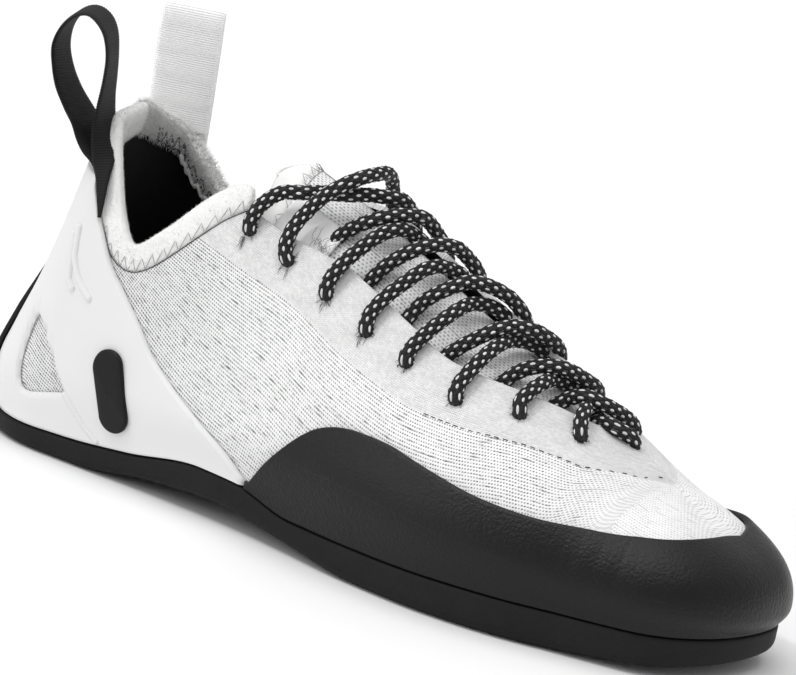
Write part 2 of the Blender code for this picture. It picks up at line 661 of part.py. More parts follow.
def add_tongue_binding(finish):
    """Thicker bound edge at the tongue's top."""
    shares = np.linspace(0.328, 0.3535, 3)
    vertices, faces = tongue_grid(shares, -0.0007)
    made = add_mesh("tongue_binding", vertices, faces, finish, closed=False)
    solidify(made, 0.0044, outward=False)
    return made


def smooth_rows(rows, per_span):
    """Curve through table rows, with evenly spread points between them."""
    rows = np.asarray(rows, float)
    keys = np.arange(len(rows))
    slopes = np.gradient(rows, axis=0)
    out = []
    for i in range(len(rows) - 1):
        for u in np.linspace(0, 1, per_span, endpoint=False):
            a, b = (1 + 2 * u) * (1 - u) ** 2, u * (1 - u) ** 2
            c, d = u * u * (3 - 2 * u), u * u * (u - 1)
            out.append(a * rows[i] + b * slopes[i] + c * rows[i + 1] + d * slopes[i + 1])
    out.append(rows[-1])
    return np.array(out[:])


def add_webbing(name, rows, finish, per_span=2):
    """Webbing along table rows of its middle line and width direction."""
    path = smooth_rows(rows, per_span)
    centres = path[:, :3] * MM - np.array([ORIGIN_X, 0, 0])
    wide = path[:, 3:] / np.linalg.norm(path[:, 3:], axis=1, keepdims=True) * LOOP_WIDTH / 2
    tangent = np.gradient(centres, axis=0)
    flat = np.cross(tangent, wide)
    flat = flat / np.linalg.norm(flat, axis=1, keepdims=True) * WEBBING / 2
    rings = [(c - w - n, c + w - n, c + w + n, c - w + n) for c, w, n in zip(centres, wide, flat)]
    vertices = [v for ring in rings for v in ring]
    faces = []
    for i in range(len(rings) - 1):
        for k in range(4):
            j = (k + 1) % 4
            faces.append((4 * i + k, 4 * (i + 1) + k, 4 * (i + 1) + j, 4 * i + j))
    faces.append((0, 1, 2, 3))
    last = 4 * (len(rings) - 1)
    faces.append((last + 3, last + 2, last + 1, last))
    return add_mesh(name, vertices, faces, finish)


def add_tube(name, centres, radius, finish, sides=6):
    """Round cord along points, with flat ends."""
    centres = np.asarray(centres, float)
    tangent = np.gradient(centres, axis=0)
    tangent /= np.linalg.norm(tangent, axis=1, keepdims=True)
    across = np.cross(tangent[0], (0, 0, 1.0))
    vertices = []
    for centre, forward in zip(centres, tangent):
        across = across - forward * across.dot(forward)
        across /= np.linalg.norm(across)
        up = np.cross(forward, across)
        for k in range(sides):
            angle = 2 * np.pi * k / sides
            vertices.append(centre + radius * (np.cos(angle) * across + np.sin(angle) * up))
    faces = []
    for i in range(len(centres) - 1):
        for k in range(sides):
            j = (k + 1) % sides
            faces.append((i * sides + k, i * sides + j, (i + 1) * sides + j, (i + 1) * sides + k))
    faces.append(tuple(range(sides))[::-1])
    last = (len(centres) - 1) * sides
    faces.append(tuple(last + k for k in range(sides)))
    return add_mesh(name, vertices, faces, finish)


def lace_path(stops):
    """Points over the last through stops of x in mm, distance from the ridge and height over it."""
    points = []
    for x, gap, over in smooth_rows(stops, 2):
        side = LATERAL if gap <= 0 else MEDIAL
        station = float(station_at(x * MM / LENGTH))
        lift = float(lift_at_gap(side, station, abs(gap) * MM))
        points.append(offset_point(side, station, lift, over * MM))
    return points


def add_laces(finish, cutter_collection):
    """Lace: crossed passes joined to one solid each, the lowest pass and the two at the top."""
    high = (GAP + LACE_RADIUS) / MM + 0.3
    for i, (near, far) in enumerate(zip(NEAR_PASSES, FAR_PASSES)):
        (x, gap), (end_x, end_gap) = near
        stops = [(x, gap, high), (0.7 * x + 0.3 * end_x, 0.7 * gap + 0.3 * end_gap, high),
                 (0.35 * x + 0.65 * end_x, 0.35 * gap + 0.65 * end_gap, high * 0.9), (end_x, end_gap, 1.4)]
        cross = add_tube(f"lace_cross_{i + 1}", lace_path(stops), LACE_RADIUS, finish)
        (x, gap), (end_x, end_gap) = far
        stops = [(x, gap, 0.8), (0.7 * x + 0.3 * end_x, 0.7 * gap + 0.3 * end_gap, 1.8),
                 (0.35 * x + 0.65 * end_x, 0.35 * gap + 0.65 * end_gap, high), (end_x, end_gap, high)]
        other = add_tube(f"lace_over_{i + 1}", lace_path(stops), LACE_RADIUS, finish)
        bpy.data.collections["shoe_parts"].objects.unlink(other)
        cutter_collection.objects.link(other)
        other.hide_render = True
        other.display_type = "WIRE"
        join = cross.modifiers.new("join", "BOOLEAN")
        join.operation = "UNION"
        join.solver = "EXACT"
        join.object = other
    add_tube("lace_low", lace_path(LOW_PASS), LACE_RADIUS, finish)
    add_tube("lace_top", lace_path(TOP_PASS), LACE_RADIUS, finish)
    add_tube("lace_curl", lace_path(TOP_CURL), LACE_RADIUS, finish)


def main():
    for made in list(bpy.data.objects):
        bpy.data.objects.remove(made, do_unlink=True)
    parts = bpy.data.collections.new("shoe_parts")
    cutters = bpy.data.collections.new("shoe_cutters")
    bpy.context.scene.collection.children.link(parts)
    bpy.context.scene.collection.children.link(cutters)
    knit = material("knit", (0.62, 0.63, 0.64), 0.9)
    black_rubber = material("black_rubber", (0.025, 0.025, 0.027), 0.55)
    white_rubber = material("white_rubber", (0.80, 0.80, 0.80), 0.5)
    fleece = material("fleece", (0.85, 0.85, 0.84), 0.95)
    lace = material("lace_cord", (0.02, 0.02, 0.022), 0.8)
    black_webbing = material("black_webbing", (0.03, 0.03, 0.032), 0.9)
    add_upper(knit)
    add_outsole(black_rubber)
    add_insole(material("insole_board", (0.08, 0.08, 0.085), 0.9))
    add_tongue(material("tongue_knit", (0.70, 0.70, 0.70), 0.9))
    add_tongue_binding(fleece)
    add_toe_rand(black_rubber)
    add_heel_rand(white_rubber, cutters)
    add_heel_strip(black_rubber)
    add_side_pad(black_rubber)
    add_collar_band(fleece)
    add_webbing("loop_black", BLACK_LOOP, black_webbing)
    add_webbing("loop_white", WHITE_LOOP, material("white_webbing", (0.78, 0.78, 0.77), 0.9))
    add_laces(lace, cutters)


main()
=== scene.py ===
"""Look of a climbing shoe for the right foot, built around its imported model.

Metres. +X runs to the toe, +Y to the medial side, +Z up; the origin is the middle of
the heel's flat spot on the floor. Every piece that follows the foot is cut from one
surface, `Last.point`, by station (0 heel back, 1 heel axis, 2 toe axis, 3 toe tip) and
lift (0 feather edge, 1 widest line, 2 ridge).
"""

import logging
from dataclasses import dataclass, field
from enum import IntEnum
from typing import Callable, Sequence

import bmesh
import bpy
import numpy as np
from mathutils import Matrix, Vector


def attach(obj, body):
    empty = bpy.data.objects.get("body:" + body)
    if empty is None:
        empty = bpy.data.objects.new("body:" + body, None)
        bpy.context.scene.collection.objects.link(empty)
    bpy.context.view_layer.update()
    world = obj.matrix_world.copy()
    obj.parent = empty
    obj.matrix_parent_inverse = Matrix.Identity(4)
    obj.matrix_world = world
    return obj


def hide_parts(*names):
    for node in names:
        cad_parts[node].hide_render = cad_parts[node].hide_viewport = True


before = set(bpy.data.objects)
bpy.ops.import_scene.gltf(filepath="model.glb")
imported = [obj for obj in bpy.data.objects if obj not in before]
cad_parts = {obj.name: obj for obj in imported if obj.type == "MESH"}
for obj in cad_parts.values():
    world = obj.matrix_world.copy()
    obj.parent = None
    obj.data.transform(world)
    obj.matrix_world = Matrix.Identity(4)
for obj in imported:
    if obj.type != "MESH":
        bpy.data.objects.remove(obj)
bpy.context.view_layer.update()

log = logging.getLogger("shoe")

MM = 0.001
Array = np.ndarray
Socket = bpy.types.NodeSocket
Material = bpy.types.Material
Piece = bpy.types.Object


class Side(IntEnum):
    """Side of the shoe, by the sign of y."""

    LATERAL = -1
    MEDIAL = 1


LATERAL, MEDIAL = Side.LATERAL, Side.MEDIAL


# Curves through tables


def spline(x: Array, xs: Array, ys: Array, slopes: Array) -> Array:
    """Cubic pieces between rows, held level outside them.

    Args:
        x: Places to read.
        xs: Rows' places, rising.
        ys: Rows' values.
        slopes: Slope at each row.

    Returns:
        The curve's values at x.
    """
    x = np.asarray(x, float)
    span = np.diff(xs)
    k = np.clip(np.searchsorted(xs, x) - 1, 0, len(xs) - 2)
    u = np.clip((x - xs[k]) / span[k], 0, 1)
    start, end = (1 + 2 * u) * (1 - u) ** 2, u * u * (3 - 2 * u)
    bend = u * (1 - u) ** 2 * slopes[k] + u * u * (u - 1) * slopes[k + 1]
    return start * ys[k] + end * ys[k + 1] + span[k] * bend


def hermite(x: Array, table: Sequence, column: int = 1) -> Array:
    """Smooth curve through one column of a table, by the table's first column."""
    rows = np.asarray(table, float)
    xs, ys = rows[:, 0], rows[:, column]
    return spline(x, xs, ys, np.gradient(ys, xs))


def monotone(x: Array, table: Sequence) -> Array:
    """Curve through a table that stays level between equal rows."""
    rows = np.asarray(table, float)
    xs, ys = rows[:, 0], rows[:, 1]
    steps = np.diff(xs)
    rises = np.diff(ys) / steps
    slopes = np.zeros_like(ys)
    for i in range(1, len(xs) - 1):
        if rises[i - 1] * rises[i] > 0:
            before, after = 2 * steps[i] + steps[i - 1], steps[i] + 2 * steps[i - 1]
            slopes[i] = (before + after) / (before / rises[i - 1] + after / rises[i])
    slopes[0], slopes[-1] = rises[0], rises[-1]
    return spline(x, xs, ys, slopes)


def smooth_rows(rows: Sequence, per_span: int) -> Array:
    """Evenly dense curve through table rows of any width."""
    rows = np.asarray(rows, float)
    keys = np.arange(len(rows), dtype=float)
    at = np.linspace(0, len(rows) - 1, (len(rows) - 1) * per_span + 1)
    return np.stack([spline(at, keys, ys, np.gradient(ys)) for ys in rows.T], -1)


def lengths_along(points: Array) -> Array:
    """Length of a polyline up to each of its points."""
    return np.concatenate([[0], np.cumsum(np.linalg.norm(np.diff(points, axis=0), axis=1))])


def respace(points: Array, step: float) -> Array:
    """Points along a polyline at even steps of length."""
    lengths = lengths_along(points[:, :3])
    count = max(3, int(round(lengths[-1] / step)) + 1)
    at = np.linspace(0, lengths[-1], count)
    return np.stack([np.interp(at, lengths, values) for values in points.T], -1)


def smoothstep(x: Array, low: float, high: float) -> Array:
    """Ramp from 0 at low to 1 at high with level ends."""
    u = np.clip((np.asarray(x, float) - low) / (high - low), 0, 1)
    return u * u * (3 - 2 * u)


def unit(v: Array) -> Array:
    """Vectors scaled to length one."""
    return v / np.maximum(np.linalg.norm(v, axis=-1, keepdims=True), 1e-12)


def oval(angle: Array, deep: Array, wide: Array, power: float) -> Array:
    """Radius of an oval at an angle from its wide axis."""
    return (np.abs(np.sin(angle) / deep) ** power + np.abs(np.cos(angle) / wide) ** power) ** (-1 / power)


def signed_power(value: Array, power: float) -> Array:
    """Power of a value's size, with the value's sign."""
    return np.sign(value) * np.abs(value) ** power


def matched(side: Array, station: Array, value: Array) -> Sequence[Array]:
    """Side, station and a third value as arrays of one shape."""
    return np.broadcast_arrays(side, np.asarray(station, float), np.asarray(value, float))


# Places from -1 to 1 round a station, and the weight of each
EASE_WEIGHTS = ((-1.0, 0.1), (-0.5, 0.25), (0.0, 0.3), (0.5, 0.25), (1.0, 0.1))


@dataclass(frozen=True)
class Corner:
    """Station where a curve or surface changes course, and how softly it does so.

    Attributes:
        station: Where it is.
        paces: Length of one station before and after it, in mm.
        window: How far from it the easing starts, in mm.
        shift: Largest shift of the places that the mean is taken of, in mm.
    """

    station: float
    paces: tuple[float, float]
    window: float
    shift: float

    def pace(self, station: Array) -> Array:
        """Length of one station."""
        return np.where(station < self.station, *self.paces)

    def ease(self, station: Array) -> Array:
        """1 at the corner, falling to 0 at the window's end."""
        return 1 - smoothstep(np.abs(station - self.station) * self.pace(station), 0.0, self.window)

    def mean(self, read: Callable, station: Array, ease: Array) -> Array:
        """Weighted mean of what is read at places round each station."""
        total = 0.0
        for place, weight in EASE_WEIGHTS:
            distance = (station - self.station) * self.pace(station) + place * self.shift * ease
            total = total + weight * read(self.station + distance / self.pace(self.station + distance))
        return total


def distance_to_line(points: Array, line: Array) -> Array:
    """Distance of each 2-D point from a polyline."""
    best = np.full(points.shape[:-1], np.inf)
    for a, b in zip(line[:-1], line[1:]):
        ab = b - a
        t = np.clip(((points - a) @ ab) / max(float(ab @ ab), 1e-12), 0, 1)
        best = np.minimum(best, np.linalg.norm(points - (a + t[..., None] * ab), axis=-1))
    return best


def inside_polygon(points: Array, outline: Array) -> Array:
    """Whether each 2-D point lies inside a closed outline."""
    x, y = points[..., 0], points[..., 1]
    inside = np.zeros(x.shape, bool)
    for (x0, y0), (x1, y1) in zip(outline, np.roll(outline, -1, axis=0)):
        crosses = (y0 > y) != (y1 > y)
        inside ^= crosses & (x < (x1 - x0) * (y - y0) / np.where(y1 == y0, 1e-12, y1 - y0) + x0)
    return inside


# The foot's form


@dataclass(frozen=True)
class Last:
    """Surface of the foot's form, which every piece that follows the foot is cut from.

    Attributes:
        length: Length of the form.
        ball: Width over the ball that the section shares are taken of.
        instep: Height that the section shares are taken of.
    """

    length: float = 0.2535
    ball: float = 0.088
    instep: float = 0.100
    rest_share: float = 0.12
    heel_power: float = 2.25
    toe_power: float = 2.15
    tuck: float = 0.0025
    toe_wide_z: float = 0.0175
    toe_drop: float = 0.55
    drop_power: float = 1.6
    toe_corner: Corner = Corner(2.0, (185.0, 55.0), 26.0, 13.0)
    normal_step: float = 1e-3
    top_normal: float = 1.985
    halvings: int = 26
    # share, lateral, medial, ridge_y (of the ball); ridge_z, wide_z (of the instep); side and top powers
    sections: tuple = (
        (0.130, 0.340, 0.335, 0.000, 1.240, 0.27, 2.00, 2.00),
        (0.235, 0.352, 0.335, 0.030, 1.120, 0.28, 1.90, 1.80),
        (0.350, 0.385, 0.350, 0.065, 1.030, 0.28, 1.70, 1.55),
        (0.470, 0.430, 0.385, 0.075, 0.920, 0.27, 1.60, 1.45),
        (0.590, 0.490, 0.435, 0.075, 0.785, 0.26, 1.60, 1.45),
        (0.690, 0.510, 0.480, 0.080, 0.665, 0.24, 1.75, 1.55),
        (0.770, 0.480, 0.475, 0.090, 0.550, 0.22, 1.90, 1.70),
        (0.860, 0.395, 0.415, 0.105, 0.420, 0.20, 2.20, 1.90),
    )
    # share of the length, height in mm
    feather: tuple = (
        (0.0, 8.0), (0.08, 7.0), (0.16, 7.6), (0.25, 9.8), (0.36, 14.2), (0.41, 14.0),
        (0.50, 10.0), (0.62, 10.2), (0.74, 10.8), (0.88, 11.2), (1.0, 12.5),
    )
    # height in mm, how far the heel's back is set in in mm
    heel_back: tuple = (
        (0, 4.5), (10, 1.2), (18, 0.0), (34, 5.6), (48, 12.0), (62, 17.2), (76, 21.2), (90, 24.2), (106, 27.0),
    )

    @property
    def heel_axis(self) -> float:
        """Share of the length where the heel's turn starts."""
        return self.sections[0][0]

    @property
    def toe_axis(self) -> float:
        """Share of the length where the toe's turn starts."""
        return self.sections[-1][0]

    @property
    def origin_x(self) -> float:
        """Distance of the origin from the heel's back."""
        return self.rest_share * self.length

    def column(self, index: int, share: Array, scale: float = 1.0) -> Array:
        """One column of the section table."""
        return hermite(share, self.sections, index) * scale

    def share(self, station: Array) -> Array:
        """Share of the length of a station between the axes."""
        return self.heel_axis + (self.toe_axis - self.heel_axis) * np.clip(np.asarray(station, float) - 1, 0, 1)

    def station(self, share: Array) -> Array:
        """Station of a share of the length between the axes."""
        return 1 + (np.asarray(share, float) - self.heel_axis) / (self.toe_axis - self.heel_axis)

    def station_x(self, x_mm: Array) -> Array:
        """Station of a distance from the heel's back in mm."""
        return self.station(np.asarray(x_mm, float) * MM / self.length)

    def ridge_y(self, share: Array) -> Array:
        """Sideways place of the ridge."""
        return self.column(3, share, self.ball)

    def reach(self, side: Array, share: Array) -> Array:
        """Half width on one side, from the ridge's line."""
        ridge = self.ridge_y(share)
        return np.where(np.asarray(side) < 0, self.column(1, share, self.ball) + ridge,
                        self.column(2, share, self.ball) - ridge)

    def point(self, side: Array, station: Array, lift: Array) -> Array:
        """Points of the surface, with the corner where the toe's turn starts eased.

        Args:
            side: -1 lateral, 1 medial.
            station: 0 to 3 from the heel's back to the toe's tip.
            lift: 0 feather edge, 1 widest line, 2 ridge.

        Returns:
            Points, one row of x, y, z for each input.
        """
        side, station, lift = matched(side, station, lift)
        points = self.sharp_point(side, station, lift)
        ease = self.toe_corner.ease(station)
        near = ease > 0
        if near.any():
            def read(stations: Array) -> Array:
                """Points at other stations near the corner."""
                return self.sharp_point(side[near], stations, lift[near])

            points[near] = self.toe_corner.mean(read, station[near], ease[near])
        return points

    def sharp_point(self, side: Array, station: Array, lift: Array) -> Array:
        """Points of the surface before easing, from what `point` takes."""
        side, station, lift = matched(side, station, lift)
        before, after = station < 1, station > 2
        share = self.share(station)
        half = self.reach(side, share)
        wide_z, ridge_z = self.column(5, share, self.instep), self.column(4, share, self.instep)
        side_power, top_power = self.column(6, share), self.column(7, share)
        toe = np.clip(station - 2, 0, 1) * np.pi / 2
        heel = np.clip(1 - station, 0, 1) * np.pi / 2
        toe_depth = self.length * (1 - self.toe_axis)
        outline = np.where(after, oval(toe, toe_depth, half, self.toe_power), half)
        foot_share = (share + np.where(after, outline * np.sin(toe) / self.length, 0)
                      - np.where(before, self.heel_axis * np.sin(heel), 0))
        foot_z = monotone(foot_share, self.feather) * MM
        blend = 0.5 * (1 - np.cos(2 * toe))
        wide_z = np.where(after, wide_z + (self.toe_wide_z - wide_z) * blend, wide_z)
        low_z = foot_z + (wide_z - foot_z) * np.sin(np.clip(lift, 0, 1) * np.pi / 2)
        drop = np.clip((wide_z - low_z) / np.maximum(wide_z - foot_z, 1e-6), 0, 1)
        low_r = outline - self.tuck * (3 * drop * drop - 2 * drop ** 3)
        angle = np.clip(lift - 1, 0, 1) * np.pi / 2
        spread = np.maximum(np.cos(angle), 0) ** (2 / side_power)
        high_z = wide_z + (ridge_z - wide_z) * np.sin(angle) ** (2 / top_power)
        sag = self.toe_drop * outline * np.sin(toe) ** self.drop_power * spread * (1 - spread)
        high_z = high_z - np.where(after, sag, 0)
        radius = np.where(lift <= 1, low_r, outline * spread)
        z = np.where(lift <= 1, low_z, high_z)
        back = self.length * self.heel_axis - hermite(np.clip(z / MM, 0, 106), self.heel_back) * MM
        radius = np.where(before, oval(heel, back, np.maximum(radius, 1e-5), self.heel_power), radius)
        along = np.where(before, -np.sin(heel), np.where(after, np.sin(toe), 0.0))
        across = np.where(before, np.cos(heel), np.where(after, np.cos(toe), 1.0)) * side
        x = share * self.length + radius * along - self.origin_x
        return np.stack([x, self.ridge_y(share) + radius * across, z], -1)

    def normal(self, side: Array, station: Array, lift: Array) -> Array:
        """Outward unit normals."""
        side, station, lift = matched(side, station, lift)
        lift = np.minimum(lift, self.top_normal)
        step = self.normal_step
        along = (self.point(side, np.minimum(station + step, 3), lift)
                 - self.point(side, np.maximum(station - step, 0), lift))
        up = (self.point(side, station, np.minimum(lift + step, 2))
              - self.point(side, station, np.maximum(lift - step, 0)))
        return unit(np.cross(along, up) * (-side[..., None]))

    def offset(self, side: Array, station: Array, lift: Array, out: Array) -> Array:
        """Points moved along their normals by a distance."""
        out = np.broadcast_to(np.asarray(out, float), np.broadcast(side, station, lift).shape)
        return self.point(side, station, lift) + self.normal(side, station, lift) * out[..., None]

    def lift_at_height(self, side: Array, station: Array, height: Array) -> Array:
        """Lift whose point stands at a height, found by halving."""
        side, station, height = matched(side, station, height)
        low, high = np.zeros(station.shape), np.full(station.shape, 2.0)
        for _ in range(self.halvings):
            mid = 0.5 * (low + high)
            above = self.point(side, station, mid)[..., 2] > height
            high, low = np.where(above, mid, high), np.where(above, low, mid)
        return 0.5 * (low + high)

    def lift_at_gap(self, side: Array, station: Array, gap: Array) -> Array:
        """Lift of the point that lies a distance from the ridge on the straight stations."""
        share = self.share(station)
        ratio = np.clip(np.asarray(gap, float) / self.reach(side, share), 0, 1)
        return 1 + np.arccos(ratio ** (self.column(6, share) / 2)) * 2 / np.pi

    def at_gap(self, x_mm: Array, gap_mm: Array, over_mm: Array) -> Array:
        """Points by distance from the heel's back, from the ridge (lateral minus) and over the surface, in mm."""
        gap = np.asarray(gap_mm, float) * MM
        side = np.where(gap <= 0, LATERAL, MEDIAL)
        station = self.station_x(x_mm)
        lift = self.lift_at_gap(side, station, np.abs(gap))
        return self.offset(side, station, lift, np.asarray(over_mm, float) * MM)


LAST = Last()


@dataclass(frozen=True)
class Edges:
    """Lines on the last where one piece ends and the next begins; the tables' heights and gaps in mm."""

    collar_base: dict = field(default_factory=lambda: {
        LATERAL: (
            (0.130, 85.0), (0.147, 73.5), (0.158, 69.5), (0.170, 65.0), (0.185, 62.3), (0.205, 61.4), (0.229, 64.3),
            (0.249, 69.0), (0.276, 76.6), (0.295, 82.0), (0.321, 87.3), (0.345, 92.0), (0.400, 99.0),
        ),
        MEDIAL: (
            (0.130, 88.5), (0.150, 80.5), (0.170, 74.0), (0.190, 70.0), (0.205, 68.0), (0.220, 68.5), (0.250, 71.5),
            (0.280, 76.5), (0.310, 81.5), (0.345, 86.5), (0.400, 94.0),
        ),
    })
    collar_top: dict = field(default_factory=lambda: {
        LATERAL: (
            (0.130, 101.0), (0.144, 92.6), (0.156, 85.1), (0.168, 78.3), (0.179, 73.3), (0.187, 70.2),
            (0.197, 68.4), (0.207, 69.4), (0.218, 71.9), (0.245, 79.3), (0.264, 85.6), (0.281, 90.0), (0.300, 93.2),
            (0.315, 95.0), (0.345, 98.0),
        ),
        MEDIAL: (
            (0.130, 97.3), (0.146, 92.1), (0.159, 86.6), (0.179, 80.5), (0.200, 76.5), (0.220, 76.0), (0.250, 78.5),
            (0.280, 84.0), (0.310, 89.5), (0.345, 94.0),
        ),
    })
    overlap: float = 0.0004
    collar_back_base: float = 95.5
    collar_back_top: float = 104.6
    band_end: dict = field(default_factory=lambda: {LATERAL: 0.318, MEDIAL: 0.342})
    throat: dict = field(default_factory=lambda: {
        LATERAL: (
            (0.30, 21.0), (0.37, 22.0), (0.46, 21.5), (0.55, 24.0), (0.62, 26.0), (0.66, 24.5), (0.72, 18.0),
            (0.77, 9.0), (0.80, 1.5), (0.806, 0.0),
        ),
        MEDIAL: (
            (0.30, 15.0), (0.36, 12.0), (0.40, 7.5), (0.46, 3.5), (0.55, 2.5), (0.70, 2.5), (0.77, 2.2),
            (0.80, 0.8), (0.806, 0.0),
        ),
    })
    throat_end: float = 0.806
    meeting: tuple[float, float] = (0.30, 0.40)
    band_corner: Corner = Corner(1.0, (45.0, 185.0), 24.0, 13.0)
    toe_rand: tuple = (
        (1.41, 15.3), (1.44, 22.9), (1.47, 28.9), (1.50, 34.4), (1.52, 37.2), (1.545, 39.2), (1.57, 40.2),
        (1.61, 40.5), (1.66, 39.9), (1.70, 38.5), (1.75, 36.8), (1.80, 35.1), (1.85, 34.0), (1.90, 33.3),
        (1.97, 33.2), (2.15, 33.7), (2.37, 34.3), (2.65, 34.1), (3.0, 33.3),
    )
    heel_rand: tuple = (
        (0.130, 82.0), (0.155, 70.0), (0.176, 62.0), (0.210, 53.5), (0.237, 47.0), (0.259, 41.3),
        (0.303, 33.5), (0.347, 27.4), (0.395, 20.6), (0.421, 15.6),
    )
    # x in mm from the heel's back, lift of the line between side knit and lace panel
    panel_line: tuple = (
        (60, 1.44), (82, 1.44), (106, 1.44), (126, 1.41), (141, 1.40), (153, 1.40), (163, 1.42), (172, 1.45),
        (181, 1.50), (187, 1.54), (195, 1.59), (203, 1.66), (208, 1.76), (214, 1.88), (217, 2.0),
    )

    def by_side(self, side: Array, x: Array, tables: dict) -> Array:
        """Read a table that has one version for each side."""
        return np.where(np.asarray(side) < 0, hermite(x, tables[LATERAL]), hermite(x, tables[MEDIAL]))

    def collar(self, side: Array, station: Array, tables: dict, back: float) -> Array:
        """Height of a collar line, run on round the back of the heel."""
        station = np.asarray(station, float)
        front = self.by_side(side, LAST.share(station), tables)
        start = np.where(np.asarray(side) < 0, tables[LATERAL][0][1], tables[MEDIAL][0][1])
        turn = np.clip(1 - station, 0, 1)
        return np.where(station < 1, start + (back - start) * np.sin(turn * np.pi / 2), front) * MM

    def eased_collar(self, side: Array, station: Array, tables: dict, back: float) -> Array:
        """Collar line whose medial corner behind the ankle is rounded."""
        station = np.asarray(station, float)
        ease = np.where(np.asarray(side) > 0, self.band_corner.ease(station), 0.0)
        return self.band_corner.mean(lambda stations: self.collar(side, stations, tables, back), station, ease)

    def collar_low(self, side: Array, station: Array) -> Array:
        """Height of the upper's collar edge."""
        return self.eased_collar(side, station, self.collar_base, self.collar_back_base)

    def collar_high(self, side: Array, station: Array) -> Array:
        """Height of the collar band's top."""
        return self.eased_collar(side, station, self.collar_top, self.collar_back_top)

    def upper(self, side: Array, station: Array) -> Array:
        """Lift of the upper's top edge: collar, then throat, then the closed ridge."""
        station = np.asarray(station, float)
        share = LAST.share(station)
        collar = LAST.lift_at_height(side, station, self.collar_low(side, station))
        throat = LAST.lift_at_gap(side, station, self.by_side(side, share, self.throat) * MM)
        throat_start, collar_end = self.meeting
        lift = np.where(share < throat_start, collar, np.minimum(collar, throat))
        lift = np.where(share > collar_end, throat, lift)
        return np.where((share >= self.throat_end - 1e-6) | (station >= 2), 2.0, lift)


EDGES = Edges()


# Meshes


def grid_faces(columns: int, rows: int, close: bool = False, start: int = 0, flip: bool = False) -> Array:
    """Quads of a grid stored column by column.

    Args:
        columns: Number of columns.
        rows: Vertices in a column.
        close: Join the last column to the first.
        start: Index of the grid's first vertex.
        flip: Turn the faces over.

    Returns:
        One row of four vertex numbers for each face.
    """
    i = np.arange(columns if close else columns - 1)
    j = (i + 1) % columns
    k = np.arange(rows - 1)
    a, b = (i[:, None] * rows + k).ravel(), (j[:, None] * rows + k).ravel()
    quads = np.stack([a, b, b + 1, a + 1], -1) + start
    return quads[:, ::-1] if flip else quads


def shell_faces(columns: int, rows: int, flip: bool = False) -> Array:
    """Quads of a closed shell whose second grid of the same size lies under the first."""
    n = columns * rows
    index = np.arange(n).reshape(columns, rows)
    border = np.concatenate([index[:, 0], index[-1, 1:], index[-2::-1, -1], index[0, -2:0:-1]])
    after = np.roll(border, -1)
    rim = np.stack([after, border, border + n, after + n], -1)
    quads = np.concatenate([grid_faces(columns, rows), grid_faces(columns, rows, start=n, flip=True), rim])
    return quads[:, ::-1] if flip else quads


def tube_faces(columns: int, rows: int, caps: bool = True, flip: bool = False) -> list[list[int]]:
    """Faces of a tube whose closed columns are stored one after another.

    Args:
        columns: Number of columns.
        rows: Vertices in a column.
        caps: Close both ends.
        flip: Turn the faces over.

    Returns:
        Vertex numbers of each face.
    """
    faces = grid_faces(columns, rows).tolist()
    faces += [[i * rows + rows - 1, (i + 1) * rows + rows - 1, (i + 1) * rows, i * rows] for i in range(columns - 1)]
    if caps:
        faces += [list(range(rows))[::-1], list(range((columns - 1) * rows, columns * rows))]
    return [face[::-1] for face in faces] if flip else faces


def cord_faces(rings: int, sides: int) -> Array:
    """Quads of a thin open tube, ring after ring."""
    i, k = np.meshgrid(np.arange(rings - 1), np.arange(sides), indexing="ij")
    j = (k + 1) % sides
    return np.stack([i * sides + k, i * sides + j, (i + 1) * sides + j, (i + 1) * sides + k], -1).reshape(-1, 4)


def ring_points(side: Array, up: Array, angle: Array) -> Array:
    """Unit circles spanned by two rows of vectors."""
    return side[:, None] * np.cos(angle)[:, None] + up[:, None] * np.sin(angle)[:, None]


def add_mesh(name: str, vertices: Sequence, faces: Sequence, finish: Material,
             attributes: dict[str, Sequence] | None = None) -> Piece:
    """One mesh object at the origin with its material and vertex attributes.

    Args:
        name: Name of the piece.
        vertices: Points in metres.
        faces: Vertex numbers of each face.
        finish: Material of the piece.
        attributes: Vectors for each vertex that the material reads.

    Returns:
        The new object, linked to the scene.
    """
    mesh = bpy.data.meshes.new(name)
    vertices = np.asarray(vertices, float).reshape(-1, 3)
    mesh.from_pydata(vertices.tolist(), [], [list(map(int, f)) for f in faces])
    for key, values in (attributes or {}).items():
        data = mesh.attributes.new(key, "FLOAT_VECTOR", "POINT")
        data.data.foreach_set("vector", np.ascontiguousarray(values, dtype=np.float32).ravel())
    mesh.polygons.foreach_set("use_smooth", [True] * len(mesh.polygons))
    mesh.materials.append(finish)
    mesh.update()
    made = bpy.data.objects.new(name, mesh)
    bpy.context.scene.collection.objects.link(made)
    return made


# Vertices over which a mesh is loose fibres, whose faces need no turning
FIBRE_LIMIT = 150000


def settle(piece: Piece, slot: str, *nodes: str) -> Piece:
    """Ride on the root and stand for CAD nodes."""
    if len(piece.data.vertices) < FIBRE_LIMIT:
        face_outward(piece)
    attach(piece, "root")
    if nodes:
        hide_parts(*nodes)
    log.info("%s: %d faces", piece.name, len(piece.data.polygons))
    return piece


# Materials


def put(tree: bpy.types.NodeTree, socket: Socket, value: object) -> None:
    """Set a socket to a number or colour, or link it."""
    if isinstance(value, bpy.types.NodeSocket):
        tree.links.new(value, socket)
    elif isinstance(value, tuple) and len(value) == 3 and socket.type == "RGBA":
        socket.default_value = (*value, 1.0)
    else:
        socket.default_value = value


def add_node(tree: bpy.types.NodeTree, kind: str, inputs: dict, **settings: object) -> bpy.types.Node:
    """One node with its settings, and its inputs by name or place."""
    node = tree.nodes.new(kind)
    for key, value in settings.items():
        setattr(node, key, value)
    for key, value in inputs.items():
        put(tree, node.inputs[key], value)
    return node


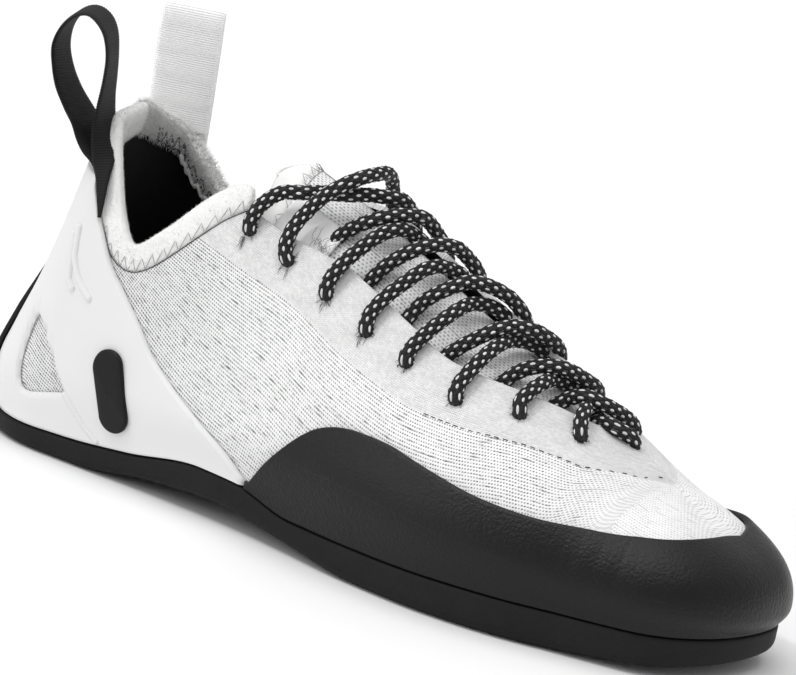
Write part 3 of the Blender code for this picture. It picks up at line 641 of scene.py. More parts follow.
class Graph:
    """One Principled material built from math on coordinates and attributes."""

    def __init__(self, name: str) -> None:
        """Start a named material."""
        self.material: Material = bpy.data.materials.new(name)
        self.material.use_nodes = True
        self.tree = self.material.node_tree
        self.shader = self.tree.nodes["Principled BSDF"]
        self._coords: Socket | None = None

    def set(self, **values: object) -> None:
        """Set the shader's inputs by name, with underscores for spaces."""
        for key, value in values.items():
            put(self.tree, self.shader.inputs[key.replace("_", " ")], value)

    def node(self, kind: str, *values: object, **settings: object) -> bpy.types.Node:
        """One node with its settings and its first inputs' values."""
        return add_node(self.tree, kind, dict(enumerate(values)), **settings)

    def math(self, operation: str, a: object, b: object = 0.0, clamp: bool = False) -> Socket:
        """One Math node."""
        return self.node("ShaderNodeMath", a, b, operation=operation, use_clamp=clamp).outputs[0]

    def less(self, a: object, b: object) -> Socket:
        """The first value less the second."""
        return self.math("SUBTRACT", a, b)

    def over(self, a: object, b: object) -> Socket:
        """The first value over the second."""
        return self.math("DIVIDE", a, b)

    def floor(self, value: object) -> Socket:
        """The whole part of a value."""
        return self.math("FLOOR", value)

    def part(self, value: object) -> Socket:
        """What a value has over its whole part."""
        return self.math("FRACT", value)

    def sway(self, value: object, amount: float) -> Socket:
        """A value from 0 to 1 as a change from minus to plus half an amount."""
        return self.times(self.less(value, 0.5), amount)

    def add(self, *terms: object) -> Socket:
        """Sum of several values."""
        total = terms[0]
        for term in terms[1:]:
            total = self.math("ADD", total, term)
        return total

    def times(self, *terms: object) -> Socket:
        """Product of several values."""
        total = terms[0]
        for term in terms[1:]:
            total = self.math("MULTIPLY", total, term)
        return total

    def ramp(self, value: object, low: float, high: float) -> Socket:
        """Smooth step of a value between two limits."""
        return self.node("ShaderNodeMapRange", value, low, high, interpolation_type="SMOOTHSTEP").outputs[0]

    def coords(self) -> Socket:
        """Object coordinates."""
        if self._coords is None:
            self._coords = self.tree.nodes.new("ShaderNodeTexCoord").outputs["Object"]
        return self._coords

    def attribute(self, name: str) -> tuple[Socket, Socket, Socket]:
        """The three numbers of a vertex attribute."""
        vector = self.node("ShaderNodeAttribute", attribute_name=name).outputs["Vector"]
        return tuple(self.node("ShaderNodeSeparateXYZ", vector).outputs)

    def join(self, x: object, y: object, z: object = 0.0) -> Socket:
        """A vector of three numbers."""
        return self.node("ShaderNodeCombineXYZ", x, y, z).outputs[0]

    def noise(self, vector: Socket | None = None, scale: float = 100.0, detail: float = 2.0,
              roughness: float = 0.5) -> Socket:
        """Noise from 0 to 1."""
        inputs = {"Vector": self.coords() if vector is None else vector, "Scale": scale, "Detail": detail,
                  "Roughness": roughness}
        return add_node(self.tree, "ShaderNodeTexNoise", inputs).outputs[0]

    def random(self, x: object, y: object) -> Socket:
        """One random number for each pair of whole numbers."""
        return self.node("ShaderNodeTexWhiteNoise", self.join(x, y, 0.5), noise_dimensions="3D").outputs["Value"]

    def blend(self, factor: object, low: object, high: object) -> Socket:
        """Mix of two colours."""
        return add_node(self.tree, "ShaderNodeMix", {0: factor, 6: low, 7: high}, data_type="RGBA").outputs[2]

    def bump(self, height: object, depth: float, strength: float) -> Socket:
        """Bump whose height of 1 stands a distance in metres."""
        inputs = {"Strength": strength, "Distance": depth, "Height": height}
        return add_node(self.tree, "ShaderNodeBump", inputs).outputs[0]

    def peak(self, value: object, centre: float, half: float) -> Socket:
        """1 at a centre, falling smoothly to 0 at a half width."""
        return self.ramp(self.math("ABSOLUTE", self.less(value, centre)), half, 0.0)

    def grey(self, value: object) -> Socket:
        """A colour of three equal numbers."""
        return self.join(value, value, value)


@dataclass(frozen=True)
class Knit:
    """Two-zone knit: white side zone with rows of dark dashes, heathered lace panel with painted shade in the gaps
    between its loops.

    Reads the attribute `knit`: distance along the rows, across the rows and to the panel, in mm.
    """

    name: str = "knit"
    row: float = 1.02
    dash: float = 0.78
    side: float = 0.89
    dark: float = 0.06
    panel: float = 0.79
    stitch: float = 0.78

    def build(self) -> Material:
        """The material."""
        g = Graph(self.name)
        along, across, zone = g.attribute("knit")
        rows = g.over(across, self.row)
        row = g.floor(rows)
        steps = g.add(g.over(along, self.dash), g.times(row, 0.37))
        step = g.floor(steps)
        in_row, in_step = g.part(rows), g.part(steps)
        streak = g.noise(g.join(g.times(along, 0.20), g.times(across, 0.80)), 1.0, 3.0, 0.65)
        cloud = g.noise(g.join(g.times(along, 0.07), g.times(across, 0.09)), 1.0, 2.0, 0.5)
        luck = g.random(row, step)
        filled = g.ramp(streak, 0.54, 0.66)
        heel = g.ramp(along, 120.0, 50.0)
        dot = g.peak(in_step, 0.5, g.add(0.35, g.times(luck, 0.20), g.times(heel, 0.10)))
        mark = g.math("MAXIMUM", dot, g.times(filled, 0.8))
        line = g.peak(in_row, 0.5, g.add(0.38, g.times(filled, 0.10)))
        weight = g.add(0.74, g.times(luck, 0.44), g.times(heel, 0.20), g.times(filled, 0.06))
        faint = g.add(1.0, g.times(g.ramp(along, 192.0, 222.0), -0.62))
        ink = g.math("MULTIPLY", g.times(mark, line, faint), weight, clamp=True)
        wash = g.add(self.side, g.sway(cloud, -0.14), g.times(heel, -0.07),
                     g.times(filled, -0.08))
        side = g.blend(ink, g.grey(wash), (self.dark, self.dark, self.dark * 1.06))
        columns = g.over(along, self.stitch)
        courses = g.over(across, self.stitch * 0.8)
        column, course = g.floor(columns), g.floor(courses)
        vee = g.math("ABSOLUTE", g.less(g.less(columns, column), 0.5))
        loops = g.part(g.add(courses, g.times(vee, 0.9)))
        heather = g.noise(g.join(g.times(along, 0.16), g.times(across, 0.24)), 1.0, 3.0, 0.6)
        fleck = g.random(column, course)
        # Gaps between the panel's loops: darker in colour as painted shade, and sunk in the bump.
        gap = g.peak(loops, 0.0, 0.30)
        tone = g.add(self.panel, g.sway(heather, 0.24),
                     g.sway(fleck, 0.12), g.times(gap, -0.32))
        on_side = g.ramp(zone, -0.25, 0.25)
        g.set(Base_Color=g.blend(on_side, g.grey(tone), side), Roughness=0.92, Sheen_Weight=0.1,
              Sheen_Roughness=0.5, Specular_IOR_Level=0.2)
        relief = g.blend(on_side, *(g.grey(g.less(1.0, hollow)) for hollow in (gap, g.times(mark, line))))
        g.set(Normal=g.bump(relief, 0.00012, 0.9))
        return g.material


@dataclass(frozen=True)
class Rubber:
    """Moulded rubber with fine grain."""

    name: str
    tone: float
    roughness: float = 0.5
    specular: float = 0.35
    grain: float = 2600.0
    depth: float = 0.00005
    mottle: float = 0.15

    def build(self) -> Material:
        """The material."""
        g = Graph(self.name)
        fine = g.noise(scale=self.grain, detail=3.0, roughness=0.6)
        broad = g.noise(scale=90.0, detail=3.0)
        change = g.add(1.0, g.sway(broad, self.mottle),
                       g.sway(fine, self.mottle))
        g.set(Base_Color=g.grey(g.times(change, self.tone)), Specular_IOR_Level=self.specular,
              Roughness=g.add(self.roughness, g.sway(broad, 0.12)))
        g.set(Normal=g.bump(fine, self.depth, 0.9))
        return g.material


@dataclass(frozen=True)
class Cloth:
    """Soft plain cloth: fleece, plush lining, backing, thread."""

    name: str
    tone: tuple[float, float, float]
    roughness: float = 0.95
    pile: float = 1800.0
    depth: float = 0.0002
    sheen: float = 0.4
    specular: float = 0.15
    mottle: float = 0.12

    def build(self) -> Material:
        """The material."""
        g = Graph(self.name)
        pile = g.noise(scale=self.pile, detail=4.0, roughness=0.7)
        broad = g.noise(scale=160.0, detail=3.0)
        shade = g.add(1.0, g.sway(pile, self.mottle * 2),
                      g.sway(broad, self.mottle * 2))
        g.set(Base_Color=g.join(*(g.times(shade, t) for t in self.tone)), Roughness=self.roughness,
              Sheen_Weight=self.sheen, Sheen_Roughness=0.5, Specular_IOR_Level=self.specular)
        g.set(Normal=g.bump(pile, self.depth, 0.7))
        return g.material


@dataclass(frozen=True)
class Ribbed:
    """Ribbed webbing with painted shade in its grooves and painted light on its yarns' crowns. Reads the attribute
    `web`: across the band and along it, in mm.
    """

    name: str
    tone: float
    rib: float = 0.80
    half: float = 9.5
    # How much darker the grooves are: painted shade.
    lift: float = 0.35
    sheen: float = 0.15

    def build(self) -> Material:
        """The material."""
        g = Graph(self.name)
        across, along, _ = g.attribute("web")
        rib = g.part(g.over(along, self.rib))
        groove = g.math("MAXIMUM", g.peak(rib, 0.0, 0.30), g.peak(rib, 1.0, 0.30))
        yarn = g.peak(g.part(g.over(across, 0.42)), 0.5, 0.5)
        edge = g.ramp(g.math("ABSOLUTE", across), self.half - 0.9, self.half - 0.4)
        fuzz = g.noise(scale=3000.0, detail=2.0)
        # Colour darker in the grooves (painted shade) and lighter on the yarns' crowns (painted light), in the same
        # places as the bump's hollows and crests.
        shade = g.add(1.0, g.times(groove, -self.lift), g.times(yarn, 0.10), g.times(edge, 0.12),
                      g.sway(fuzz, 0.25))
        g.set(Base_Color=g.grey(g.times(shade, self.tone)), Roughness=0.7, Sheen_Weight=self.sheen,
              Sheen_Roughness=0.4, Specular_IOR_Level=0.2)
        height = g.add(g.times(g.less(1.0, groove), 0.7), g.times(yarn, 0.3))
        g.set(Normal=g.bump(height, 0.00012, 0.8))
        return g.material


@dataclass(frozen=True)
class Braid:
    """Braided cord with pale flecks and painted sheen on its black strands. Reads the attribute `cord`: turns round
    and mm along.
    """

    name: str = "lace_braid"
    around: float = 5.0
    pitch: float = 4.2
    black: float = 0.007
    fleck: float = 0.86

    def build(self) -> Material:
        """The material."""
        g = Graph(self.name)
        turns, along, _ = g.attribute("cord")
        u, v = g.times(turns, self.around), g.over(along, self.pitch)
        a, b = g.add(u, v), g.less(u, v)
        i, j = g.floor(a), g.floor(b)
        fa = g.less(g.less(a, i), 0.25)
        fb = g.less(g.less(b, j), 0.25)
        out = g.math("SQRT", g.add(g.times(fa, fa), g.times(fb, fb)))
        mark = g.ramp(out, 0.245, 0.185)
        ha, hb = g.part(g.times(a, 2.0)), g.part(g.times(b, 2.0))
        dome = g.times(g.peak(ha, 0.5, 0.52), g.peak(hb, 0.5, 0.52))
        luck = g.random(g.floor(g.times(a, 2.0)), g.floor(g.times(b, 2.0)))
        strand = g.peak(g.part(g.times(g.less(a, b), 9.0)), 0.5, 0.5)
        # Black strands lighter along the strands' crowns and in random cells: painted sheen and glints. The flecks are
        # the pale strands' own colour, with a faint painted sheen along the strands.
        dark = g.times(g.add(0.4, g.times(luck, luck, 2.4), g.times(strand, dome, 2.2)), self.black)
        bright = g.times(g.add(0.80, g.times(luck, 0.25), g.times(strand, 0.08)), self.fleck)
        g.set(Base_Color=g.blend(mark, g.grey(dark), g.grey(bright)), Roughness=0.5, Specular_IOR_Level=0.32)
        g.set(Normal=g.bump(g.add(dome, g.times(strand, 0.22)), 0.00030, 0.9))
        return g.material


@dataclass(frozen=True)
class Finishes:
    """All materials of the shoe, made once."""

    knit: Material
    tongue_knit: Material
    white_rubber: Material
    toe_rubber: Material
    sole_rubber: Material
    pad_rubber: Material
    fleece: Material
    plush: Material
    board: Material
    webbing_black: Material
    webbing_white: Material
    braid: Material
    thread_grey: Material
    thread_dark: Material
    label: Material

    @classmethod
    def make(cls) -> "Finishes":
        """Build every material."""
        return cls(
            knit=Knit().build(),
            tongue_knit=Knit(name="tongue_knit", side=0.92, dark=0.30, row=0.72, dash=1.4).build(),
            white_rubber=Rubber("white_rubber", 0.78, roughness=0.38, specular=0.4, depth=0.00002,
                                mottle=0.02).build(),
            toe_rubber=Rubber("toe_rubber", 0.0045, roughness=0.34, specular=0.28, grain=1100.0,
                              depth=0.00030, mottle=0.3).build(),
            sole_rubber=Rubber("sole_rubber", 0.012, roughness=0.62, specular=0.16, grain=1400.0,
                               depth=0.00012, mottle=0.8).build(),
            pad_rubber=Rubber("pad_rubber", 0.008, roughness=0.45, specular=0.2).build(),
            fleece=Cloth("fleece", (0.90, 0.90, 0.89)).build(),
            plush=Cloth("plush_lining", (0.006, 0.006, 0.006), depth=0.0004, sheen=0.05, mottle=0.6).build(),
            board=Cloth("insole_board", (0.02, 0.02, 0.021)).build(),
            # lift sets the painted shade in each webbing's grooves.
            webbing_black=Ribbed("webbing_black", 0.016, lift=0.75, sheen=0.04).build(),
            webbing_white=Ribbed("webbing_white", 0.97, rib=0.72, half=9.5, lift=0.14).build(),
            braid=Braid().build(),
            thread_grey=Cloth("thread_grey", (0.30, 0.30, 0.30), depth=0.00002).build(),
            thread_dark=Cloth("thread_dark", (0.03, 0.03, 0.03), depth=0.00002).build(),
            label=Cloth("label_satin", (0.97, 0.97, 0.97), roughness=0.6, pile=5000.0, depth=0.00003,
                        sheen=0.1, mottle=0.02).build(),
        )


# Pieces that follow the last


def two_sides(lateral: int, medial: int) -> Array:
    """Sides of columns that run along the lateral side and back along the medial one."""
    return np.repeat([LATERAL, MEDIAL], [lateral, medial])


@dataclass(frozen=True)
class Strip:
    """Columns of a grid on the last: the side and station of each."""

    sides: Array
    stations: Array

    @classmethod
    def round_heel(cls, front_lateral: float, front_medial: float, count: int) -> "Strip":
        """From the lateral front end round the heel to the medial front end."""
        stations = np.concatenate([np.linspace(front_lateral, 0, count), np.linspace(0, front_medial, count)[1:]])
        return cls(two_sides(count, count - 1), stations)

    @classmethod
    def round_toe(cls, back: float, count: int) -> "Strip":
        """From the lateral back end round the toe to the medial back end."""
        forward = back + (3 - back) * np.linspace(0, 1, count)
        return cls(two_sides(count, count - 1), np.concatenate([forward, forward[-2::-1]]))

    def read(self, curve: Callable) -> Array:
        """What a curve of side and station gives for each column."""
        return curve(self.sides, self.stations)

    def lift_at(self, height: Array) -> Array:
        """Lift of each column at a height."""
        return LAST.lift_at_height(self.sides, self.stations, height)

    def grid(self, low: Array, high: Array, shares: Array) -> tuple[Array, Array, Array]:
        """Sides, stations and lifts of a grid between two lift curves.

        Args:
            low: Lift of the lower edge for each column.
            high: Lift of the upper edge for each column.
            shares: Place of each row between them, 0 to 1.

        Returns:
            Three arrays of columns by rows.
        """
        rows = len(shares)
        lift = low[:, None] + (high - low)[:, None] * shares
        return np.repeat(self.sides[:, None], rows, 1), np.repeat(self.stations[:, None], rows, 1), lift


def edge_distance(points: Array) -> Array:
    """Distance of each grid point from the grid's nearest border, in metres."""
    up = np.linalg.norm(np.diff(points, axis=1), axis=-1)
    from_low = np.concatenate([np.zeros((len(points), 1)), np.cumsum(up, 1)], 1)
    along = np.linalg.norm(np.diff(points, axis=0), axis=-1)
    from_first = np.concatenate([np.zeros((1, points.shape[1])), np.cumsum(along, 0)], 0)
    top = from_low[:, -1:] - from_low
    last = from_first[-1:] - from_first
    return np.minimum(np.minimum(from_first, last), top)


def rounded(distance: Array, radius: float) -> Array:
    """Share of full height at a distance from an edge with a round lip."""
    u = 1 - np.clip(distance / radius, 0, 1)
    return np.sqrt(np.maximum(1 - u * u, 0))


# Rows of a rand, closer together under its upper edge
FINE_TOP = np.concatenate([
    np.linspace(0, 0.955, 46), 1 - np.array([0.036, 0.028, 0.021, 0.015, 0.010, 0.006, 0.003, 0]),
])
# Share of a rand's thickness that is left at its very edge
THIN_EDGE = 0.25


def thinned(full: Array, distance: Array, lip: float) -> Array:
    """Thickness that rounds off towards an edge."""
    return full * (THIN_EDGE + (1 - THIN_EDGE) * rounded(distance, lip))


def add_rand(name: str, strip: Strip, low: Array, high: Array, under: float, thick: Callable,
             finish: Material, lip: float) -> Piece:
    """Closed plate on the last with rounded edges.

    Args:
        name: Name of the piece.
        strip: Its columns.
        low: Lift of its lower edge for each column.
        high: Lift of its upper edge for each column.
        under: Distance of its inner face from the last.
        thick: Function of points, stations and lifts that gives the thickness.
        finish: Material.
        lip: Radius of the rounded edge.

    Returns:
        The object.
    """
    side, station, lift = strip.grid(low, high, FINE_TOP)
    base = LAST.point(side, station, lift)
    normal = LAST.normal(side, station, lift)
    height = thinned(thick(base, station, lift), edge_distance(base), lip)
    outer, inner = base + normal * (under + height)[..., None], base + normal * under
    return add_mesh(name, [outer, inner], shell_faces(*lift.shape), finish)


@dataclass
class Upper:
    """Knit upper with its dark lining."""

    wall: float = 0.0020
    heel_columns: int = 44
    side_columns: int = 250
    toe_columns: int = 56
    rows: int = 62
    toe_widening: float = 0.6
    fan_start: float = 112.0
    fan_limit: float = 90.0
    fan_rate: float = 0.35 / 130
    fan_depth: float = 25.0
    lip_rise: float = 0.0002
    lining_rows: int = 36
    lining_drop: float = 0.004

    def columns(self, thin: int = 1) -> Strip:
        """Ring of columns: lateral from heel to toe, then medial back."""
        stations = np.concatenate([
            np.linspace(0, 1, self.heel_columns // thin, endpoint=False),
            np.linspace(1, 2, self.side_columns // thin, endpoint=False),
            np.linspace(2, 3, self.toe_columns // thin),
        ])
        sides = two_sides(len(stations), len(stations) - 2)
        return Strip(sides, np.concatenate([stations, stations[-2:0:-1]]))

    def chart(self, points: Array, side: Array, station: Array, lift: Array) -> Array:
        """Knit coordinates in mm: along the rows, across the rows, distance below the lace panel."""
        (line_start, start_lift), (line_end, _) = EDGES.panel_line[0], EDGES.panel_line[-1]
        x = (points[..., 0] + LAST.origin_x) / MM
        line_lift = np.where(x < line_start, start_lift, np.minimum(hermite(x, EDGES.panel_line), 2.0))
        line = LAST.point(side, station, line_lift)
        gap = np.linalg.norm(points - line, axis=-1) / MM
        below = np.where(lift < line_lift, gap, -gap)
        below = np.where(x > line_end, below + (x - line_end) * self.toe_widening, below)
        fan = np.clip(self.fan_start - x, 0, self.fan_limit) ** 2 * self.fan_rate
        across = np.where(x > line_end, gap, below) + fan * np.clip(below / self.fan_depth, 0, 1)
        return np.stack([x, across, below], -1)

    def build(self, finishes: Finishes) -> None:
        """Make the outer knit and the lining."""
        strip = self.columns()
        shares = np.concatenate([np.linspace(0, 0.94, self.rows - 8), np.linspace(0.95, 1, 8)])
        high = strip.read(EDGES.upper)
        side, station, lift = strip.grid(np.zeros(len(high)), high, shares)
        outer = LAST.point(side, station, lift)
        knit = self.chart(outer, side, station, lift)
        normal = LAST.normal(side[:, -1], station[:, -1], lift[:, -1])
        rolled = outer[:, -1] - normal * self.wall * 0.5 + np.array([0, 0, self.lip_rise])
        tucked = outer[:, -1] - normal * self.wall
        closed = high >= 1.999
        for edge in (rolled, tucked):
            edge[closed] = outer[closed, -1]
        points = np.concatenate([outer, rolled[:, None], tucked[:, None]], 1)
        chart = np.concatenate([knit, knit[:, -1:], knit[:, -1:]], 1)
        faces = grid_faces(len(high), points.shape[1], close=True)
        piece = add_mesh("knit_upper", points, faces, finishes.knit, {"knit": chart})
        settle(piece, "knit", "upper")
        thin = self.columns(2)
        high = thin.read(EDGES.upper)
        grid = thin.grid(np.zeros(len(high)), high - self.lining_drop, np.linspace(0, 1, self.lining_rows))
        inner = LAST.offset(*grid, -self.wall)
        faces = grid_faces(len(high), self.lining_rows, close=True, flip=True)
        lining = add_mesh("lining", inner, faces, finishes.plush)
        settle(lining, "insole_board")


@dataclass
class Rubbers:
    """Outsole, toe rand, heel rand, heel strip and side pad."""

    gap: float = 0.0005
    rand: float = 0.0018
    strip: float = 0.0010
    strip_gap: float = 0.0007
    sole_gap: float = 0.0006
    sole_round: float = 0.0034
    joint: float = 1.402
    heel_top: float = 0.0915
    foot: float = 0.005
    toe_lip: float = 0.0012
    heel_lip: float = 0.0010
    window_lip: float = 0.0013
    strip_lip: float = 0.0008
    roll: float = 0.00025
    roll_stations: tuple[float, float] = (1.45, 1.95)
    roll_lifts: tuple[float, float] = (1.12, 0.10)
    groove: float = 0.00045
    rib_radius: float = 0.0011
    bury: float = 0.0003
    strip_reach: float = 0.375
    underside: tuple = (
        (0.0, 1.5), (0.06, 0.0), (0.18, 0.0), (0.28, 3.6), (0.38, 5.4), (0.50, 2.4), (0.60, 0.0), (0.80, 0.0),
        (0.90, 1.6), (1.0, 4.4),
    )
    window: tuple = (
        (24.2, 41.0), (27.2, 37.4), (31.0, 31.8), (35.0, 25.8), (38.3, 21.2), (34.5, 19.6), (29.5, 18.2),
        (24.5, 16.9), (21.6, 17.2), (20.0, 19.2), (19.6, 22.5), (19.7, 27.0), (20.6, 33.0), (22.2, 38.6),
    )
    rib_back: tuple = ((24.5, 67.6), (27.9, 61.0), (31.3, 55.5), (35.4, 50.6))
    rib_front: tuple = ((28.8, 69.7), (31.9, 62.7), (36.0, 54.8), (42.2, 49.2))
    step: tuple = ((38.3, 21.2), (41.6, 18.3), (45.9, 13.9), (48.4, 12.1), (52.7, 9.2))
    pad_centre: tuple = (56.0, 26.5)
    pad_lean: tuple = (-0.32, 0.95)
    pad_length: float = 0.024
    pad_width: float = 0.0105

    @property
    def rand_out(self) -> float:
        """Outer face of the rands over the last."""
        return self.gap + self.rand

    @property
    def strip_out(self) -> float:
        """Outer face of the heel strip over the last."""
        return self.rand_out + self.strip_gap + self.strip

    def sole_out(self, station: Array) -> Array:
        """How far the sole's side stands out from the feather edge."""
        return self.rand_out + (self.strip_out - self.rand_out) * smoothstep(0.60 - station, 0.0, 0.26)

    def ring(self, strip: Strip, out: Array) -> Array:
        """Outline of the feather edge moved out level."""
        base = LAST.point(strip.sides, strip.stations, 0.0)
        normal = LAST.normal(strip.sides, strip.stations, 0.004)
        normal[:, 2] = 0
        return base + unit(normal) * out[:, None]

    def ground(self, ring: Array) -> Array:
        """Height of the sole's underside below each point of a ring."""
        return monotone(np.clip((ring[:, 0] + LAST.origin_x) / LAST.length, 0, 1), self.underside) * MM

    def build_outsole(self, finish: Material) -> None:
        """Outsole with rounded lower edge and level heel and ball."""
        strip = Upper().columns()
        out = self.sole_out(strip.stations)
        top = self.ring(strip, out)
        high, low = top[:, 2] - self.sole_gap, self.ground(top) + self.sole_round
        rings = []
        for share in (0.0, 0.12, 0.3, 0.5, 0.72, 1.0):
            ring = self.ring(strip, out + (0.0 if share else -self.bury))
            ring[:, 2] = high + (low - high) * share
            rings.append(ring)
        for angle in np.linspace(0, np.pi / 2, 7)[1:]:
            ring = self.ring(strip, out - self.sole_round * (1 - np.cos(angle)))
            ring[:, 2] = self.ground(ring) + self.sole_round * (1 - np.sin(angle))
            rings.append(ring)
        opposite = (-np.arange(len(top))) % len(top)

        def inward(rim: Array, share: float) -> Array:
            """A ring drawn towards its middle line."""
            return rim + (0.5 * (rim + rim[opposite]) - rim) * share

        rings = [inward(rings[0], 0.999), *rings, *(inward(rings[-1], share) for share in (0.1, 0.3, 0.6, 1.0))]
        points = np.stack(rings, 1)
        faces = grid_faces(len(top), len(rings), close=True, flip=True)
        settle(add_mesh("outsole_rubber", points, faces, finish), "black_rubber", "outsole")

    def build_toe_rand(self, finish: Material) -> None:
        """Black toe rand with a soft lip and a slight roll along its shoulder."""
        strip = Strip.round_toe(self.joint, 300)
        top = strip.lift_at(hermite(strip.stations, EDGES.toe_rand) * MM)

        def thick(points: Array, station: Array, lift: Array) -> Array:
            """Thickness with a faint roll along the shoulder."""
            (start, end), (centre, half) = self.roll_stations, self.roll_lifts
            along = np.sin(np.clip((station - start) / (end - start), 0, 1) * np.pi)
            return self.rand + self.roll * along * np.exp(-((lift - centre) / half) ** 2)

        piece = add_rand("toe_rand_rubber", strip, np.full(len(top), self.foot), top, 0.0004, thick, finish,
                         self.toe_lip)
        settle(piece, "black_rubber", "toe_rand")

    def build_heel_rand(self, finish: Material) -> None:
        """White heel rand with two ribs, a step line and a window on each side."""
        strip = Strip.round_heel(self.joint, self.joint, 190)
        share = LAST.share(strip.stations)
        edge = hermite(share, EDGES.heel_rand) * MM
        under = strip.read(EDGES.collar_low) - EDGES.overlap
        height = np.minimum(under, np.where(strip.stations < 1, self.heel_top, edge))
        top = strip.lift_at(height)
        window = np.array(self.window + self.window[:1])

        def thick(points: Array, station: Array, lift: Array) -> Array:
            """Thickness with a groove along the step and a round edge at the window."""
            flat = np.stack([(points[..., 0] + LAST.origin_x) / MM, points[..., 2] / MM], -1)
            groove = np.exp(-(distance_to_line(flat, np.array(self.step)) / 0.45) ** 2)
            away = np.where(inside_polygon(flat, window[:-1]), 0, distance_to_line(flat, window)) * MM
            return thinned(self.rand - self.groove * groove, away, self.window_lip)

        piece = add_rand("heel_rand_rubber", strip, np.full(len(top), self.foot), top, 0.0002, thick, finish,
                         self.heel_lip)
        for side in (LATERAL, MEDIAL):
            self.cut_window(piece, side, finish)
        beads = []
        for side in (LATERAL, MEDIAL):
            for row, rise in ((self.rib_back, -0.00060), (self.rib_front, -0.00060), (self.step, -0.00092)):
                flat = smooth_rows(np.array(row, float), 12) * MM
                station = LAST.station(flat[:, 0] / LAST.length)
                lift = LAST.lift_at_height(side, station, flat[:, 1])
                beads.append(LAST.offset(np.full(len(flat), side), station, lift, self.rand_out + rise))
        settle(add_threads("heel_rand_ribs", beads, self.rib_radius, finish, 14), "white_rubber")
        settle(piece, "white_rubber", "heel_rand")

    def cut_window(self, piece: Piece, side: int, finish: Material) -> None:
        """Cut the window on one side with a prism, applied at once."""
        outline = smooth_rows(self.window + self.window[:1], 4)[:-1] * MM
        outline[:, 0] -= LAST.origin_x
        count = len(outline)
        near = np.stack([outline[:, 0], np.full(count, side * 0.016), outline[:, 1]], -1)
        far = near + np.array([0, side * 0.028, 0])
        faces = [[i, (i + 1) % count, count + (i + 1) % count, count + i] for i in range(count)]
        faces += [list(range(count)), list(range(count, 2 * count))]
        cutter = add_mesh("window_cutter", [near, far], faces, finish)
        for solid in (cutter, piece):
            face_outward(solid)
        cut = piece.modifiers.new("window", "BOOLEAN")
        cut.operation = "DIFFERENCE"
        cut.solver = "EXACT"
        cut.object = cutter
        bake(piece)
        bpy.data.objects.remove(cutter, do_unlink=True)

    def build_heel_strip(self, finish: Material) -> None:
        """Thin strip up the back of the heel."""
        stations = np.linspace(-self.strip_reach, self.strip_reach, 61)
        strip = Strip(np.where(stations < 0, LATERAL, MEDIAL), np.abs(stations))
        height = (60.0 - 5.0 * (stations / self.strip_reach) ** 4) * MM
        top = strip.lift_at(height)

        def thick(points: Array, station: Array, lift: Array) -> Array:
            """Even thickness."""
            return np.full(lift.shape, self.strip + self.bury)

        piece = add_rand("heel_strip_rubber", strip, np.full(61, 0.02), top, self.rand_out + 0.0002, thick, finish,
                         self.strip_lip)
        settle(piece, "black_rubber", "heel_strip")

    def build_side_pad(self, finish: Material) -> None:
        """Plain stadium-shaped pad on the lateral side."""
        lean = np.array(self.pad_lean) / np.linalg.norm(self.pad_lean)
        cross = np.array([lean[1], -lean[0]])
        radius = self.pad_width / 2
        straight = self.pad_length / 2 - radius
        angles = np.linspace(0, 2 * np.pi, 64, endpoint=False)
        rim = (lean * (np.sin(angles) * radius + np.copysign(straight, np.sin(angles)))[:, None]
               + cross * (np.cos(angles) * radius)[:, None])
        layers = [(1.0, 0.0), (1.0, 0.0007), (0.985, 0.0010), (0.95, 0.00118), (0.90, 0.00125), (0.6, 0.00125),
                  (0.3, 0.00125), (0.02, 0.00125)]
        rings = []
        for scale, height in layers:
            x = self.pad_centre[0] * MM + rim[:, 0] * scale
            z = self.pad_centre[1] * MM + rim[:, 1] * scale
            station = LAST.station(x / LAST.length)
            lift = LAST.lift_at_height(LATERAL, station, z)
            rings.append(LAST.offset(np.full(64, LATERAL), station, lift, self.rand_out + height))
        points = np.stack(rings, 1)
        piece = add_mesh("side_pad_rubber", points, grid_faces(64, len(layers), close=True), finish)
        settle(piece, "black_rubber", "side_pad")

    def build(self, finishes: Finishes) -> None:
        """Make all rubber pieces."""
        self.build_outsole(finishes.sole_rubber)
        self.build_toe_rand(finishes.toe_rubber)
        self.build_heel_rand(finishes.white_rubber)
        self.build_heel_strip(finishes.sole_rubber)
        self.build_side_pad(finishes.pad_rubber)


def face_outward(piece: Piece) -> None:
    """Turn a closed mesh's faces outward."""
    shell = bmesh.new()
    shell.from_mesh(piece.data)
    bmesh.ops.recalc_face_normals(shell, faces=shell.faces[:])
    shell.to_mesh(piece.data)
    shell.free()


def bake(piece: Piece) -> None:
    """Apply a piece's modifiers to its mesh."""
    bpy.context.view_layer.update()
    evaluated = piece.evaluated_get(bpy.context.evaluated_depsgraph_get())
    mesh = bpy.data.meshes.new_from_object(evaluated)
    old = piece.data
    piece.modifiers.clear()
    piece.data = mesh
    bpy.data.meshes.remove(old)
    mesh.polygons.foreach_set("use_smooth", [True] * len(mesh.polygons))


# Radii of sewing thread and of loose yarn
FINE_THREAD, HAIR = 0.00009, 0.00007


def add_threads(name: str, lines: Sequence[Array], radius: float, finish: Material,
                sides: int = 5) -> Piece:
    """Thin round threads along several lines, as one mesh."""
    vertices, faces, start = [], [], 0
    turn = np.linspace(0, 2 * np.pi, sides, endpoint=False)
    for line in lines:
        tangent = unit(np.gradient(line, axis=0))
        side = unit(np.cross(tangent, (0.31, 0.12, 0.94)))
        up = np.cross(tangent, side)
        index = np.arange(len(line))
        taper = np.minimum(1, 0.35 + 1.3 * np.minimum(index, index[::-1]) / 2)
        vertices.append((line[:, None] + ring_points(side, up, turn) * (radius * taper)[:, None, None]).reshape(-1, 3))
        faces.append(cord_faces(len(line), sides) + start)
        start += len(line) * sides
    return add_mesh(name, np.concatenate(vertices), np.concatenate(faces), finish)


